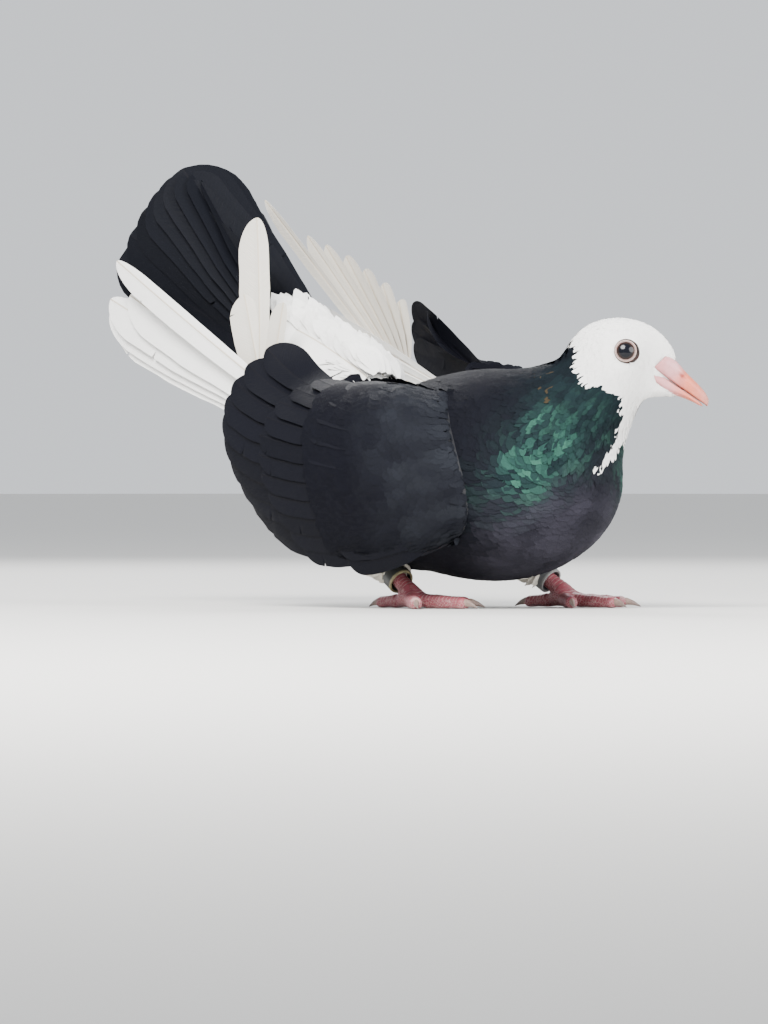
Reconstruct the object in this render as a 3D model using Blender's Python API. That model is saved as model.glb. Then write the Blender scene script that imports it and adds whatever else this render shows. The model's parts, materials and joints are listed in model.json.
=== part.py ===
"""A donek pigeon at life size, black with a white head, throat stripe, rump and primaries.

It stands with its neck drawn in, its wings drooped and opened a little at the back, and its tail
cocked between them. Sizes are millimetres of the bird, turned to metres when a mesh is made. The body
faces +X, its left is +Y and the floor is Z = 0.
"""

import math

import bmesh
import bpy
import numpy as np

MM = 0.001
GAP = 0.32  # clearance between neighbouring nodes
MERGES = (0.02, 0.008, 0.003, 0.0)  # corners this near become one after a cut, the first that stays closed
FLAT_ANGLE = math.radians(1.5)  # faces this nearly level with each other are made one after a cut
RIGHT, LEFT = -1, 1
SIDES = {"right": RIGHT, "left": LEFT}

# Middle of the footprint of the whole bird, which becomes the origin
FOOTPRINT = np.array((-20.95, 1.4, 0.0))

# Flesh: rounded masses that run into each other, each with its centre, half sizes, yaw and pitch,
# and the reach over which it melts into those before it
HEAD = np.array((80.2, 10.2, 81.8))
HEAD_YAW = 45.0
TRUNK_MASSES = (
    ((17, 0, 44), (55, 35.5, 32.5), 0, 2, 1),
    ((40, 0, 41), (36, 36, 30), 0, 8, 14),
    ((-32, 0, 62), (24, 21, 15), 0, -38, 18),
    ((34, 0, 60), (30, 25, 16), 0, 0, 12),
)
NECK_MASSES = (
    ((54, 2, 56), (20, 20, 21), 0, 30, 10),
    ((65, 4.5, 64), (16.5, 16.5, 18), 20, 30, 9),
    ((73.5, 7.5, 73), (14, 12.5, 14), 35, 20, 8),
)
# The same for the skull, whose front is narrowed by its taper, and for the face and the jaw, each placed
# from the middle of the head
HEAD_MASSES = (
    ((0.0, 0, 0.3), (17.6, 11.0, 13.5), -9.0, 5, 2.0),
    ((9.5, 0, -3.0), (7.2, 4.3, 7.6), -24.0, 4, 0.0),
    ((14.0, 0, -9.4), (6.3, 3.2, 2.9), -6.0, 3, 0.0),
)
NECK_FOOT = ((56, 2, 64), (0.6, 0.1, 0.79))
NECK_TOP = ((78, 9, 73), (0.35, 0.35, 0.87))

# Eye and bill, in the head's own directions: ahead, out to the side and up from HEAD
EYE_AHEAD, EYE_OUT, EYE_UP = 1.2, 7.3, 1.6
EYE_RADIUS = 5.0
LID_RADIUS, LID_THICK = 4.1, 0.8
UPPER_BILL = (
    ((14.5, 1.2), (9.8, -3.3), 6.4),
    ((17.4, -0.6), (13.0, -5.1), 5.4),
    ((20.8, -4.2), (17.0, -7.9), 4.4),
    ((24.4, -7.7), (21.0, -10.7), 3.4),
    ((26.9, -10.5), (24.6, -13.2), 2.4),
    ((28.3, -13.0), (27.0, -14.8), 1.4),
    ((28.2, -14.9), (27.7, -15.4), 0.6),
)
LOWER_BILL = (
    ((9.6, -3.9), (11.5, -8.8), 5.9),
    ((12.9, -5.7), (15.4, -11.2), 4.8),
    ((16.9, -8.4), (18.8, -12.3), 3.7),
    ((20.9, -11.1), (22.0, -13.5), 2.8),
    ((24.6, -13.7), (25.0, -15.0), 1.9),
    ((26.6, -15.2), (26.8, -15.9), 0.9),
)
MEETING_EDGE = 0.4  # how square the bill halves are where they meet, 1 being round
CERE_AHEAD, CERE_OUT, CERE_UP = 17.6, 1.7, -2.2
CERE_HALF = (3.4, 1.9, 1.8)

# Wing shield: a net of points of the right wing's outer face, from the leading edge back to the
# secondaries' tips, and from the lower edge up to the tertials in each row
WING_NET = np.array(
    (
        ((44, -34, 19), (54, -39, 34), (49, -40, 55), (35, -26, 75)),
        ((14, -37, 14), (14, -46, 34), (10, -46, 58), (6, -23, 75)),
        ((-12, -40, 18), (-22, -47, 38), (-24, -46, 62), (-16, -23, 76)),
        ((-36, -42, 33), (-49, -43, 52), (-53, -40, 71), (-39, -30, 89)),
    ),
    float,
)
WRIST = np.array((50.0, -38.0, 34.0))
LEFT_WING_LIFT, LEFT_WING_OPEN = 7.5, 3.0
CORE_END = 0.60
CORE_SINK = 3.2
VANE_STATIONS = (0.0, 0.25, 0.6, 0.9, 1.0)
COVERT_STATIONS = (0.0, 0.45, 0.88, 1.0)
SECONDARIES, SECONDARY_WIDTH = 9, 16.5
COVERTS, COVERT_WIDTH = 7, 17.5

# Primaries, in a low group that lies under the tail and a high group that stands beside it. Each group
# of each wing has the part of the hand that carries it, the curve that its quills leave from, the way its
# feathers face, and for each feather its tip, how far its middle bows outwards, how far out its quill lies
# and its width
PRIMARY_GROUPS = {
    "low": {
        RIGHT: {
            "hand": ((-22, -37, 58), (16, 4.6, 10)),
            "quills": ((-20, -37, 60), (-22, -37, 63), (-25, -37, 66)),
            "facing": (0.25, -1, 0.25),
            "feathers": (
                ((-138, -11, 97), 1, -2.2, 14),
                ((-142, -11, 101), 1, -1.4, 14),
                ((-141, -12, 105), 1, -0.6, 14),
                ((-128, -15, 106), 1, 0.2, 14),
                ((-133.5, -16, 118), 3, 1.0, 8),
            ),
        },
        LEFT: {
            "hand": ((-24, 35, 66), (16, 4.6, 10)),
            "quills": ((-22, 35, 69), (-24, 35, 72), (-27, 35, 75)),
            "facing": (0.25, 1, 0.25),
            "feathers": (
                ((-139, 10, 102), 1, -2.4, 14),
                ((-137, 15, 108), 1, -1.6, 14),
                ((-131, 22, 112), 1, -0.8, 14),
                ((-122, 30, 116), 1, 0.0, 14),
            ),
        },
    },
    "high": {
        RIGHT: {
            "hand": ((-41, -26, 66), (13, 3.4, 6)),
            "quills": ((-49, -26, 68), (-50, -26, 69), (-52, -26, 70)),
            "facing": (0.25, -1, 0.25),
            "feathers": (
                ((-46, -21, 102), 0, -0.8, 7),
                ((-64, -22, 105), 0, 0.0, 11),
                ((-62, -17, 131), -1, 0.8, 10),
            ),
        },
        LEFT: {
            "hand": ((-31, 31, 77), (9, 2.8, 4.8)),
            "quills": ((-36, 32, 80), (-36, 33, 81), (-35, 34, 82)),
            "facing": (-0.3, 1, 0.3),
            "feathers": (
                ((-116, 38, 140), 0, -1.6, 12),
                ((-104, 47, 127), 0, -0.6, 13),
                ((-88, 49, 118), 0, 0.4, 13),
                ((-70, 50, 108), 0, 1.4, 13),
            ),
        },
    },
}

# Tertials of the left wing, which stand above its shield: where each starts and its tip
TERTIALS = {
    RIGHT: (),
    LEFT: (
        ((4, 26, 76), (-48, 42, 101)),
        ((2, 28, 75), (-49, 43, 94)),
        ((0, 30, 73), (-49, 44, 87)),
    ),
}
TERTIAL_WIDTH = 13.0

# Tail: where the quills leave the rump, and the nearest, middle and farthest tip of the fan
TAIL_ROOT = np.array((-42.0, 0.0, 74.0))
TAIL_ROOT_WIDTH = 20.0
TAIL_TIPS = np.array(((-137, -16, 118.5), (-117, 3, 151), (-112, 39, 137.5)), float)
RECTRICES, RECTRIX_WIDTH = 12, 20.0
FAN_DROP = 4.6
# Tail coverts: place and half sizes of the mass that carries them and its pitch, the share of the fan's
# width at which they begin, then for each tier the count, the share of the tail's length reached, the
# height off the fan and how far ahead they start
TAIL_COVERTS = {
    "rump": ((9, 0, 5.5), (15, 12, 5), -24, 0.4, ((4, 0.40, 3.6, 12), (4, 0.28, 6.2, 16))),
    "vent": ((-2, 0, -11), (19, 14, 8), -34, 0.0, ((5, 0.42, -3.8, -2),)),
}
TAIL_COVERT_WIDTH = 17.0

# Legs: the joint over the toes of each foot, how the shank leans back and where the toes point
FOOT_JOINT = {RIGHT: np.array((12.5, -19.5, 5.4)), LEFT: np.array((35.0, 30.0, 5.4))}
SHANK_LENGTH, SHANK_RISE, SHANK_RADIUS = 25.0, 33.0, 2.6
SHANK_SPLAY = 8.0
THIGH_OFFSET, THIGH_HALF = (4, 0, -2), (14, 8.5, 8)
TOE_LENGTHS = (14.0, 18.0, 23.0, 19.0)
TOE_ANGLES = (176.0, 38.0, 2.0, -40.0)
TOE_RADIUS = 2.35
CLAW_LENGTH = 6.5
RING_RADIUS, RING_WALL, RING_HEIGHT, RING_UP = 4.5, 0.9, 5.5, 8.5


def clear_scene():
    for obj in list(bpy.data.objects):
        bpy.data.objects.remove(obj)


def finish(name, colour, roughness, metallic=0.0):
    """A material of one colour."""
    material = bpy.data.materials.new(name)
    material.use_nodes = True
    shader = material.node_tree.nodes["Principled BSDF"]
    shader.inputs["Base Color"].default_value = (*colour, 1.0)
    shader.inputs["Roughness"].default_value = roughness
    shader.inputs["Metallic"].default_value = metallic
    return material


def unit(vector):
    vector = np.asarray(vector, float)
    return vector / np.maximum(np.linalg.norm(vector, axis=-1, keepdims=True), 1e-9)


def turned(yaw, pitch):
    """The forward, left and up directions after a turn to the left by yaw and nose up by pitch."""
    a, b = math.radians(yaw), math.radians(pitch)
    forward = np.array((math.cos(a) * math.cos(b), math.sin(a) * math.cos(b), math.sin(b)))
    left = np.array((-math.sin(a), math.cos(a), 0.0))
    return np.array((forward, left, np.cross(forward, left)))


def in_head(ahead, out, up):
    """A point given from the middle of the head, out being towards the bird's left."""
    forward, left, _ = turned(HEAD_YAW, 0)
    return HEAD + forward * ahead + left * out + np.array((0, 0, up))


def mass_distance(points, centre, half, yaw, pitch, taper=0.0):
    """How far points lie outside an ellipsoid, below zero inside it, its front narrowed by the taper."""
    half = np.asarray(half, float)
    local = (points - np.asarray(centre, float)) @ turned(yaw, pitch).T
    local[:, 1] *= 1 + taper * np.clip(local[:, 0] / half[0], 0, 1) ** 2
    near = np.linalg.norm(local / half, axis=1)
    slope = np.linalg.norm(local / half**2, axis=1)
    return near * (near - 1) / np.maximum(slope, 1e-9)


def melted(first, second, reach):
    """The union of two masses with a soft crease of that reach."""
    share = np.maximum(reach - np.abs(first - second), 0) / reach
    return np.minimum(first, second) - share**2 * reach / 4


def flesh(points):
    """Distance outside the trunk, neck and head taken as one skin."""
    masses = [(*mass, 0.0) for mass in TRUNK_MASSES + NECK_MASSES]
    for place, half, pitch, reach, taper in HEAD_MASSES:
        masses.append((in_head(*place), half, HEAD_YAW, pitch, reach, taper))
    distance = None
    for centre, half, yaw, pitch, reach, taper in masses:
        one = mass_distance(points, centre, half, yaw, pitch, taper)
        distance = one if distance is None else melted(distance, one, reach)
    return distance


def slope_of(field, points, step=0.05):
    columns = []
    for axis in range(3):
        offset = np.zeros(3)
        offset[axis] = step
        columns.append((field(points + offset) - field(points - offset)) / (2 * step))
    return np.stack(columns, 1)


def surface_net(field, low, high, cell):
    """Closed mesh of near-square faces where field is zero, between the corners low and high."""
    axes = [np.arange(a, b + cell, cell) for a, b in zip(low, high)]
    grid = np.stack(np.meshgrid(*axes, indexing="ij"), -1)
    shape = grid.shape[:3]
    inside = (field(grid.reshape(-1, 3)) < 0).reshape(shape)
    for axis in range(3):
        border = [slice(None)] * 3
        for end in (0, -1):
            border[axis] = end
            inside[tuple(border)] = False
    spans = [(slice(0, -1), slice(1, None))] * 3
    corners = [inside[a, b, c] for a in spans[0] for b in spans[1] for c in spans[2]]
    count = sum(corner.astype(int) for corner in corners)
    mixed = (count > 0) & (count < 8)
    number = np.full(mixed.shape, -1)
    number[mixed] = np.arange(mixed.sum())
    points = (np.argwhere(mixed) + 0.5) * cell + np.asarray(low, float)
    for _ in range(8):
        slope = slope_of(field, points)
        step = field(points)[:, None] * slope / np.maximum((slope**2).sum(1, keepdims=True), 0.2)
        points -= np.clip(step, -cell / 2, cell / 2)
    faces = []
    for axis in range(3):
        u, v = [a for a in range(3) if a != axis]
        first = inside.take(range(shape[axis] - 1), axis)
        second = inside.take(range(1, shape[axis]), axis)
        for outward in (True, False):
            node = np.argwhere((first & ~second) if outward else (second & ~first))
            quad = []
            for du, dv in ((-1, -1), (0, -1), (0, 0), (-1, 0)):
                cellof = node.copy()
                cellof[:, u] += du
                cellof[:, v] += dv
                quad.append(number[tuple(cellof.T)])
            quad = np.stack(quad, 1)
            faces.append(quad if outward == (axis != 1) else quad[:, ::-1])
    return points, np.concatenate(faces).tolist()


def mesh_object(name, points, faces, material):
    """An object from points in the bird's millimetres, with its faces turned outwards."""
    mesh = bpy.data.meshes.new(name)
    placed = (np.asarray(points, float) - FOOTPRINT) * MM
    mesh.from_pydata(placed.tolist(), [], [list(map(int, face)) for face in faces])
    shape = bmesh.new()
    shape.from_mesh(mesh)
    bmesh.ops.recalc_face_normals(shape, faces=shape.faces)
    shape.to_mesh(mesh)
    shape.free()
    mesh.materials.append(material)
    obj = bpy.data.objects.new(name, mesh)
    bpy.context.scene.collection.objects.link(obj)
    return obj


def slab(top, bottom):
    """Closed solid between two grids of points, split alike on both."""
    rows, columns = top.shape[:2]
    points = np.concatenate((top.reshape(-1, 3), bottom.reshape(-1, 3)))
    other = rows * columns
    faces = []
    for r in range(rows - 1):
        for c in range(columns - 1):
            a, b = r * columns + c, r * columns + c + 1
            d, e = a + columns, b + columns
            for first, second, third in ((a, b, e), (a, e, d)):
                faces.append((first, second, third))
                faces.append((other + third, other + second, other + first))
    rim = [c for c in range(columns)]
    rim += [r * columns + columns - 1 for r in range(1, rows)]
    rim += [(rows - 1) * columns + c for c in range(columns - 2, -1, -1)]
    rim += [r * columns for r in range(rows - 2, 0, -1)]
    for a, b in zip(rim, rim[1:] + rim[:1]):
        faces.append((b, a, other + a, other + b))
    return points, faces


def tube(rings):
    """Closed solid through rings of the same number of points."""
    rings = np.asarray(rings, float)
    count, sides = rings.shape[:2]
    faces = [tuple(range(sides)), tuple((count - 1) * sides + i for i in reversed(range(sides)))]
    for k in range(count - 1):
        for i in range(sides):
            j = (i + 1) % sides
            faces.append((k * sides + i, k * sides + j, (k + 1) * sides + j, (k + 1) * sides + i))
    return rings.reshape(-1, 3), faces


def round_rings(centres, radii, sides, squash=1.0, hint=(0, 0, 1)):
    """Rings square to a line of centres, squashed along hint."""
    centres = np.asarray(centres, float)
    along = unit(np.gradient(centres, axis=0))
    across = unit(np.cross(along, np.asarray(hint, float)))
    above = np.cross(across, along)
    angles = np.arange(sides) * math.tau / sides + math.pi / sides
    rings = []
    for centre, radius, a, b in zip(centres, radii, across, above):
        wide = np.cos(angles)[:, None] * a
        high = np.sin(angles)[:, None] * b * squash
        rings.append(centre + radius * (wide + high))
    return rings


def ball(centre, half, yaw=0, pitch=0, rings=6, sides=12):
    """Closed ellipsoid."""
    half = np.asarray(half, float)
    turn = turned(yaw, pitch)
    loops = []
    for k in range(1, rings):
        angle = math.pi * k / rings
        around = np.arange(sides) * math.tau / sides
        loop = np.stack(
            (np.full(sides, math.cos(angle)), math.sin(angle) * np.cos(around), math.sin(angle) * np.sin(around)),
            1,
        )
        loops.append(loop * half @ turn + np.asarray(centre, float))
    points, faces = tube(loops)
    poles = np.array(((half[0], 0, 0), (-half[0], 0, 0))) @ turn + np.asarray(centre, float)
    faces = faces[2:]
    first, last = len(points), len(points) + 1
    for i in range(sides):
        j = (i + 1) % sides
        faces.append((first, j, i))
        faces.append((last, (rings - 2) * sides + i, (rings - 2) * sides + j))
    return np.concatenate((points, poles)), faces


def vane(root, tip, facing, width, bow=0.0, narrow=0.3, blunt=0.3, stations=VANE_STATIONS):
    """One flight feather as a closed thin blade that faces a direction and bows towards it, narrow at
    the quill and blunt at its rounded tip."""
    u = np.array(stations)[:, None]
    root, tip = np.asarray(root, float), np.asarray(tip, float)
    along = unit(tip - root)
    side = unit(np.cross(np.asarray(facing, float), along))
    normal = np.cross(along, side)
    arch = 4 * u * (1 - u)
    centre = root + (tip - root) * u + normal * bow * arch
    shape = np.interp(u[:, 0], (0, 0.25, 0.6, 0.9, 1), (narrow, 0.75, 1, 0.45 + blunt, blunt))[:, None]
    half = width / 2 * shape
    camber = 0.05 * width * shape
    left = centre + side * half - normal * camber
    right = centre - side * half - normal * camber
    thick = np.interp(u[:, 0], (0, 0.3, 1), (0.55, 0.4, 0.3))[:, None] * normal
    top = np.stack((left + thick * 0.8, centre + thick, right + thick * 0.8), 1)
    bottom = np.stack((left - thick * 0.8, centre - thick, right - thick * 0.8), 1)
    return slab(top, bottom)


def largest_shell(shape):
    """Deletes all but the largest closed surface, which drops sealed hollows and loose scraps."""
    shells, left = [], set(shape.faces)
    while left:
        shell, edge = set(), [left.pop()]
        while edge:
            face = edge.pop()
            shell.add(face)
            for near in (f for e in face.edges if e.is_manifold for f in e.link_faces):
                if near in left:
                    left.remove(near)
                    edge.append(near)
        volume = sum(f.verts[0].co.dot(f.verts[1].co.cross(f.verts[2].co)) for f in shell)
        shells.append((volume, shell))
    keep = max(shells, key=lambda item: item[0])[1]
    bmesh.ops.delete(shape, geom=[f for f in shape.faces if f not in keep], context="FACES")
    bmesh.ops.delete(shape, geom=[v for v in shape.verts if not v.link_faces], context="VERTS")


def applied(obj):
    """The object with its modifiers made real and its near corners merged as far as it stays closed."""
    graph = bpy.context.evaluated_depsgraph_get()
    graph.update()
    mesh = bpy.data.meshes.new_from_object(obj.evaluated_get(graph))
    obj.modifiers.clear()
    obj.data = mesh
    for reach in MERGES:
        shape = bmesh.new()
        shape.from_mesh(mesh)
        if reach:
            bmesh.ops.remove_doubles(shape, verts=shape.verts, dist=reach * MM)
            bmesh.ops.dissolve_degenerate(shape, dist=reach * MM, edges=shape.edges)
        bmesh.ops.dissolve_limit(shape, angle_limit=FLAT_ANGLE, verts=shape.verts, edges=shape.edges)
        bmesh.ops.triangulate(shape, faces=shape.faces)
        largest_shell(shape)
        if all(edge.is_manifold for edge in shape.edges):
            shape.to_mesh(mesh)
            shape.free()
            break
        shape.free()
    return obj


def combined(obj, pieces, operation, solver):
    """obj joined with or cut by closed pieces, which are removed."""
    helpers = bpy.data.collections.new("helpers")
    bpy.context.scene.collection.children.link(helpers)
    for piece in pieces:
        bpy.context.scene.collection.objects.unlink(piece)
        helpers.objects.link(piece)
    boolean = obj.modifiers.new("combine", "BOOLEAN")
    boolean.operation = operation
    boolean.operand_type = "COLLECTION"
    boolean.collection = helpers
    boolean.solver = solver
    applied(obj)
    for piece in pieces:
        bpy.data.objects.remove(piece)
    bpy.data.collections.remove(helpers)
    return obj


def fused(name, shapes, material, solver="MANIFOLD"):
    """One node from overlapping closed shapes."""
    pieces = [mesh_object(f"{name}_piece", *shape, material) for shape in shapes]
    obj = combined(pieces[0], pieces[1:], "UNION", solver)
    obj.name = obj.data.name = name
    return obj


def swollen(obj, by):
    """A copy of obj pushed out along its normals."""
    copy = obj.copy()
    copy.data = obj.data.copy()
    bpy.context.scene.collection.objects.link(copy)
    normals = [vertex.normal.copy() for vertex in copy.data.vertices]
    for vertex, normal in zip(copy.data.vertices, normals):
        vertex.co += normal * (by * MM)
    return copy


def carved(obj, *others):
    """obj cut clear of its neighbours, and of what a swollen copy of them leaves in a sharp corner."""
    cutters = [swollen(other, by) for other in others for by in (GAP * 1.15, GAP * 0.3)]
    return combined(obj, cutters, "DIFFERENCE", "MANIFOLD")


def sliced(obj, point, normal):
    """Keeps what lies behind a plane, half a gap clear of it, and closes the cut."""
    normal = unit(normal)
    place = (np.asarray(point, float) - normal * GAP / 2 - FOOTPRINT) * MM
    shape = bmesh.new()
    shape.from_mesh(obj.data)
    everything = list(shape.verts) + list(shape.edges) + list(shape.faces)
    bmesh.ops.bisect_plane(shape, geom=everything, plane_co=place, plane_no=normal, clear_outer=True, dist=1e-6)
    bmesh.ops.holes_fill(shape, edges=[e for e in shape.edges if e.is_boundary])
    bmesh.ops.recalc_face_normals(shape, faces=shape.faces)
    shape.to_mesh(obj.data)
    shape.free()
    return applied(obj)


def smooth(obj, angle=40):
    obj.data.shade_smooth()
    obj.data.set_sharp_from_angle(angle=math.radians(angle))
    return obj


def make_trunk_and_neck(black, white):
    """Torso, neck and head, parted by two thin cuts."""
    away = [-value for value in NECK_FOOT[1]]
    down = [-value for value in NECK_TOP[1]]
    torso = mesh_object("torso", *surface_net(flesh, (-66, -46, 2), (96, 48, 104), 6.8), black)
    sliced(torso, *NECK_FOOT)
    neck = mesh_object("neck", *surface_net(flesh, (20, -32, 24), (112, 48, 106), 4.5), black)
    sliced(neck, NECK_FOOT[0], away)
    sliced(neck, *NECK_TOP)
    head = mesh_object("head", *surface_net(flesh, (52, -18, 56), (112, 44, 106), 3.1), white)
    sliced(head, NECK_TOP[0], down)
    return torso, neck, head


def bill_rings(stations, meets):
    """Rings through the ridge and the lower edge of one half of the bill, squarer above (meets is 1) or
    below (-1), where it meets the other half."""
    forward, left, _ = turned(HEAD_YAW, 0)
    rings = []
    for (ahead, high), (ahead_below, low), half in stations:
        top, bottom = in_head(ahead, 0, high), in_head(ahead_below, 0, low)
        middle, reach = (top + bottom) / 2, (top - bottom) / 2
        angles = np.arange(10) * math.tau / 10
        high, wide = np.cos(angles), np.sin(angles)
        square = np.where(high * meets > 0, MEETING_EDGE, 1.0)
        high, wide = np.sign(high) * np.abs(high) ** square, np.sign(wide) * np.abs(wide) ** square
        rings.append(middle + high[:, None] * reach + wide[:, None] * left * half)
    return rings


def make_face(head, eye_finish, bill_finish, white):
    """Eyes in their sockets with raised lids, and the bill with its cere and nostrils."""
    lids, eyes = [], []
    for side, name in ((RIGHT, "eye_right"), (LEFT, "eye_left")):
        centre = in_head(EYE_AHEAD, EYE_OUT * side, EYE_UP)
        eyes.append(mesh_object(name, *ball(centre, (EYE_RADIUS,) * 3, rings=9, sides=14), eye_finish))
        out = unit(turned(HEAD_YAW, 0)[1] * side + np.array((0, 0, 0.12)))
        seat = centre + out * 3.0
        ahead = unit(np.cross(out, (0, 0, 1)))
        above = np.cross(ahead, out)
        turns = np.arange(15) * math.tau / 14
        loop = seat + LID_RADIUS * (np.cos(turns)[:, None] * ahead + np.sin(turns)[:, None] * above)
        rings = []
        for point in loop[:-1]:
            spoke = unit(point - seat)
            angles = np.arange(5) * math.tau / 5
            rings.append(point + LID_THICK * (np.cos(angles)[:, None] * spoke + np.sin(angles)[:, None] * out * 1.3))
        rings = np.array(rings)
        faces = []
        for k in range(14):
            for i in range(5):
                j, m = (i + 1) % 5, (k + 1) % 14
                faces.append((k * 5 + i, k * 5 + j, m * 5 + j, m * 5 + i))
        lids.append(mesh_object("lid", rings.reshape(-1, 3), faces, white))
    combined(head, lids, "UNION", "MANIFOLD")
    carved(head, *eyes)
    upper = [tube(bill_rings(UPPER_BILL, -1))]
    for side in SIDES.values():
        seat = in_head(CERE_AHEAD, CERE_OUT * side, CERE_UP)
        upper.append(ball(seat, CERE_HALF, HEAD_YAW + 8 * side, -42, rings=6, sides=8))
    bill_upper = fused("bill_upper", upper, bill_finish)
    slits = []
    for side in SIDES.values():
        slit = ball(in_head(20.2, 3.1 * side, -5.4), (1.7, 0.8, 0.45), HEAD_YAW - 8 * side, -40, 4, 6)
        slits.append(mesh_object("nostril", *slit, bill_finish))
    combined(bill_upper, slits, "DIFFERENCE", "MANIFOLD")
    bill_lower = mesh_object("bill_lower", *tube(bill_rings(LOWER_BILL, 1)), bill_finish)
    carved(bill_lower, bill_upper)
    carved(bill_upper, head)
    carved(bill_lower, head)
    for obj in (*eyes, bill_upper, bill_lower):
        smooth(obj)


def wing_shield(side):
    """The outer face of one wing as a function of how far back and how far up, with its normals."""
    nodes = np.array((0, 1 / 3, 2 / 3, 1))

    def weights(value):
        columns = []
        for i, node in enumerate(nodes):
            others = np.delete(nodes, i)
            columns.append(np.prod([(value - other) / (node - other) for other in others], axis=0))
        return np.stack(columns, -1)

    def place(back, up):
        points = np.einsum("ni,nj,ijk->nk", weights(back), weights(up), WING_NET)
        return posed(points, side)

    def shield(back, up):
        back, up = np.broadcast_arrays(np.asarray(back, float), np.asarray(up, float))
        shape = back.shape
        back, up = back.ravel(), up.ravel()
        point = place(back, up)
        across = np.cross(place(back + 0.01, up) - point, place(back, up + 0.01) - point)
        normal = unit(across) * np.sign(across[:, 1:2]) * side
        return point.reshape(*shape, 3), normal.reshape(*shape, 3)

    return shield


def posed(points, side):
    """Points of the right wing, or mirrored for the left one, which is held a little higher."""
    if side == RIGHT:
        return points
    points = (points - WRIST) * (1, -1, 1)
    lift, opened = math.radians(LEFT_WING_LIFT), math.radians(LEFT_WING_OPEN)
    x, y, z = points.T
    x, z = x * math.cos(lift) + z * math.sin(lift), -x * math.sin(lift) + z * math.cos(lift)
    x, y = x * math.cos(opened) + y * math.sin(opened), -x * math.sin(opened) + y * math.cos(opened)
    return np.stack((x, y, z), 1) + WRIST * (1, -1, 1)


def wing_vane(shield, start, end, width, lifts, roll):
    """A feather that lies along the shield from start to end, each as how far back and up, its lower
    edge tilted outwards over the next one."""
    u = np.array(VANE_STATIONS)
    back = start[0] + (end[0] - start[0]) * u
    up = start[1] + (end[1] - start[1]) * u
    centre, normal = shield(back, up)
    along = unit(np.gradient(centre, axis=0))
    above = shield(back, up + 0.01)[0] - centre
    above = unit(above - along * (above * along).sum(1, keepdims=True))
    centre = centre + normal * np.interp(u, (0, 0.25, 1), lifts)[:, None]
    shape = np.interp(u, (0, 0.25, 0.6, 0.9, 1), (0.5, 0.85, 1, 0.8, 0.3))[:, None]
    half, tilt = width / 2 * shape, roll * shape * np.interp(u, (0, 0.3), (0.2, 1))[:, None]
    thick = normal * 0.35
    low = centre - above * half + normal * tilt
    high = centre + above * half - normal * tilt
    return slab(np.stack((low + thick, high + thick), 1), np.stack((low - thick, high - thick), 1))


def make_wing(side, name, neighbours, black):
    """The shield of the folded wing: a fleshy core, the secondaries and their greater coverts."""
    shield = wing_shield(side)
    rows = (0, 0.02, 0.06, 0.12, 0.2, 0.3, 0.42, CORE_END)
    columns = (0.0, 0.03, 0.09, 0.2, 0.35, 0.5, 0.65, 0.8, 0.91, 0.97, 1.0)
    back, up = np.meshgrid(rows, columns, indexing="ij")
    face, normal = shield(back, up)

    def rounded(value, reach):
        return np.sqrt(1 - (1 - np.clip(value / reach, 0, 1)) ** 2)

    edge = rounded(back, 0.13) * rounded(up, 0.2) * rounded(1 - up, 0.2)
    sunk = CORE_SINK * np.clip((back - 0.15) / 0.2, 0, 1) + 5 * (1 - edge)
    deep = np.interp(back, (0, 0.3, CORE_END), (13, 12, 1.5)) * (0.3 + 0.7 * edge) + 0.6
    shapes = [slab(face - normal * sunk[..., None], face - normal * (sunk + deep)[..., None])]
    for k in range(SECONDARIES):
        f = k / (SECONDARIES - 1)
        start, end = (0.38 - 0.06 * f, 0.13 + 0.70 * f), (1.0, 0.04 + 0.91 * f)
        shapes.append(wing_vane(shield, start, end, SECONDARY_WIDTH, (-4.4, 0, 0), 1.3))
    for k in range(COVERTS):
        f = k / (COVERTS - 1)
        start, end = (0.10, 0.14 + 0.70 * f), (0.60 + 0.05 * math.sin(math.pi * f), 0.09 + 0.83 * f)
        shapes.append(wing_vane(shield, start, end, COVERT_WIDTH, (-2.6, 2.6, 3.2), 0.9))
    for start, tip in TERTIALS[side]:
        shapes.append(vane(start, tip, (0.25, side, 0.25), TERTIAL_WIDTH, narrow=0.6, blunt=0.45))
    wing = fused(name, shapes, black)
    return smooth(carved(wing, *neighbours))


def make_primaries(side, name, group, neighbours, white):
    """White flight feathers of one hand, spread from its quills."""
    shapes = [ball(*group["hand"], yaw=4 * side, pitch=-20)]
    facing = unit(group["facing"])
    feathers = group["feathers"]
    for k, (tip, bow, level, width) in enumerate(feathers):
        quill = through(np.array(group["quills"]), k / (len(feathers) - 1)) + facing * level
        shapes.append(vane(quill, tip, facing, width, bow=bow))
    primaries = fused(name, shapes, white)
    return smooth(carved(primaries, *neighbours))


def through(points, f):
    """A place on the curve through three points."""
    first, middle, last = points
    return first * (1 - f) * (1 - 2 * f) + middle * 4 * f * (1 - f) + last * f * (2 * f - 1)


def fan_feather(f, reach=1.0, lift=0.0):
    """Root, tip and upward direction of a feather of the tail's fan, from its near side to its far. The
    middle feathers lie on top of their neighbours."""
    root = TAIL_ROOT + np.array((2, (f - 0.5) * TAIL_ROOT_WIDTH, -2.5 * (2 * f - 1) ** 2))
    tip = through(TAIL_TIPS, f)
    across = through(TAIL_TIPS, f + 0.02) - through(TAIL_TIPS, f - 0.02)
    facing = unit(np.cross(across, tip - root))
    level = facing * (lift - FAN_DROP * abs(2 * f - 0.94))
    return root + level, root + (tip - root) * reach + level, facing


def make_tail(torso, black):
    """Twelve rectrices in a roof-shaped fan, the middle pair on top."""
    shapes = [ball(TAIL_ROOT, (12, 11, 7), 0, -40)]
    for k in range(RECTRICES):
        root, tip, facing = fan_feather(k / (RECTRICES - 1))
        shapes.append(vane(root, tip, facing, RECTRIX_WIDTH, bow=-3.0, blunt=0.45))
    tail = fused("tail", shapes, black)
    return smooth(carved(tail, torso))


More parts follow.
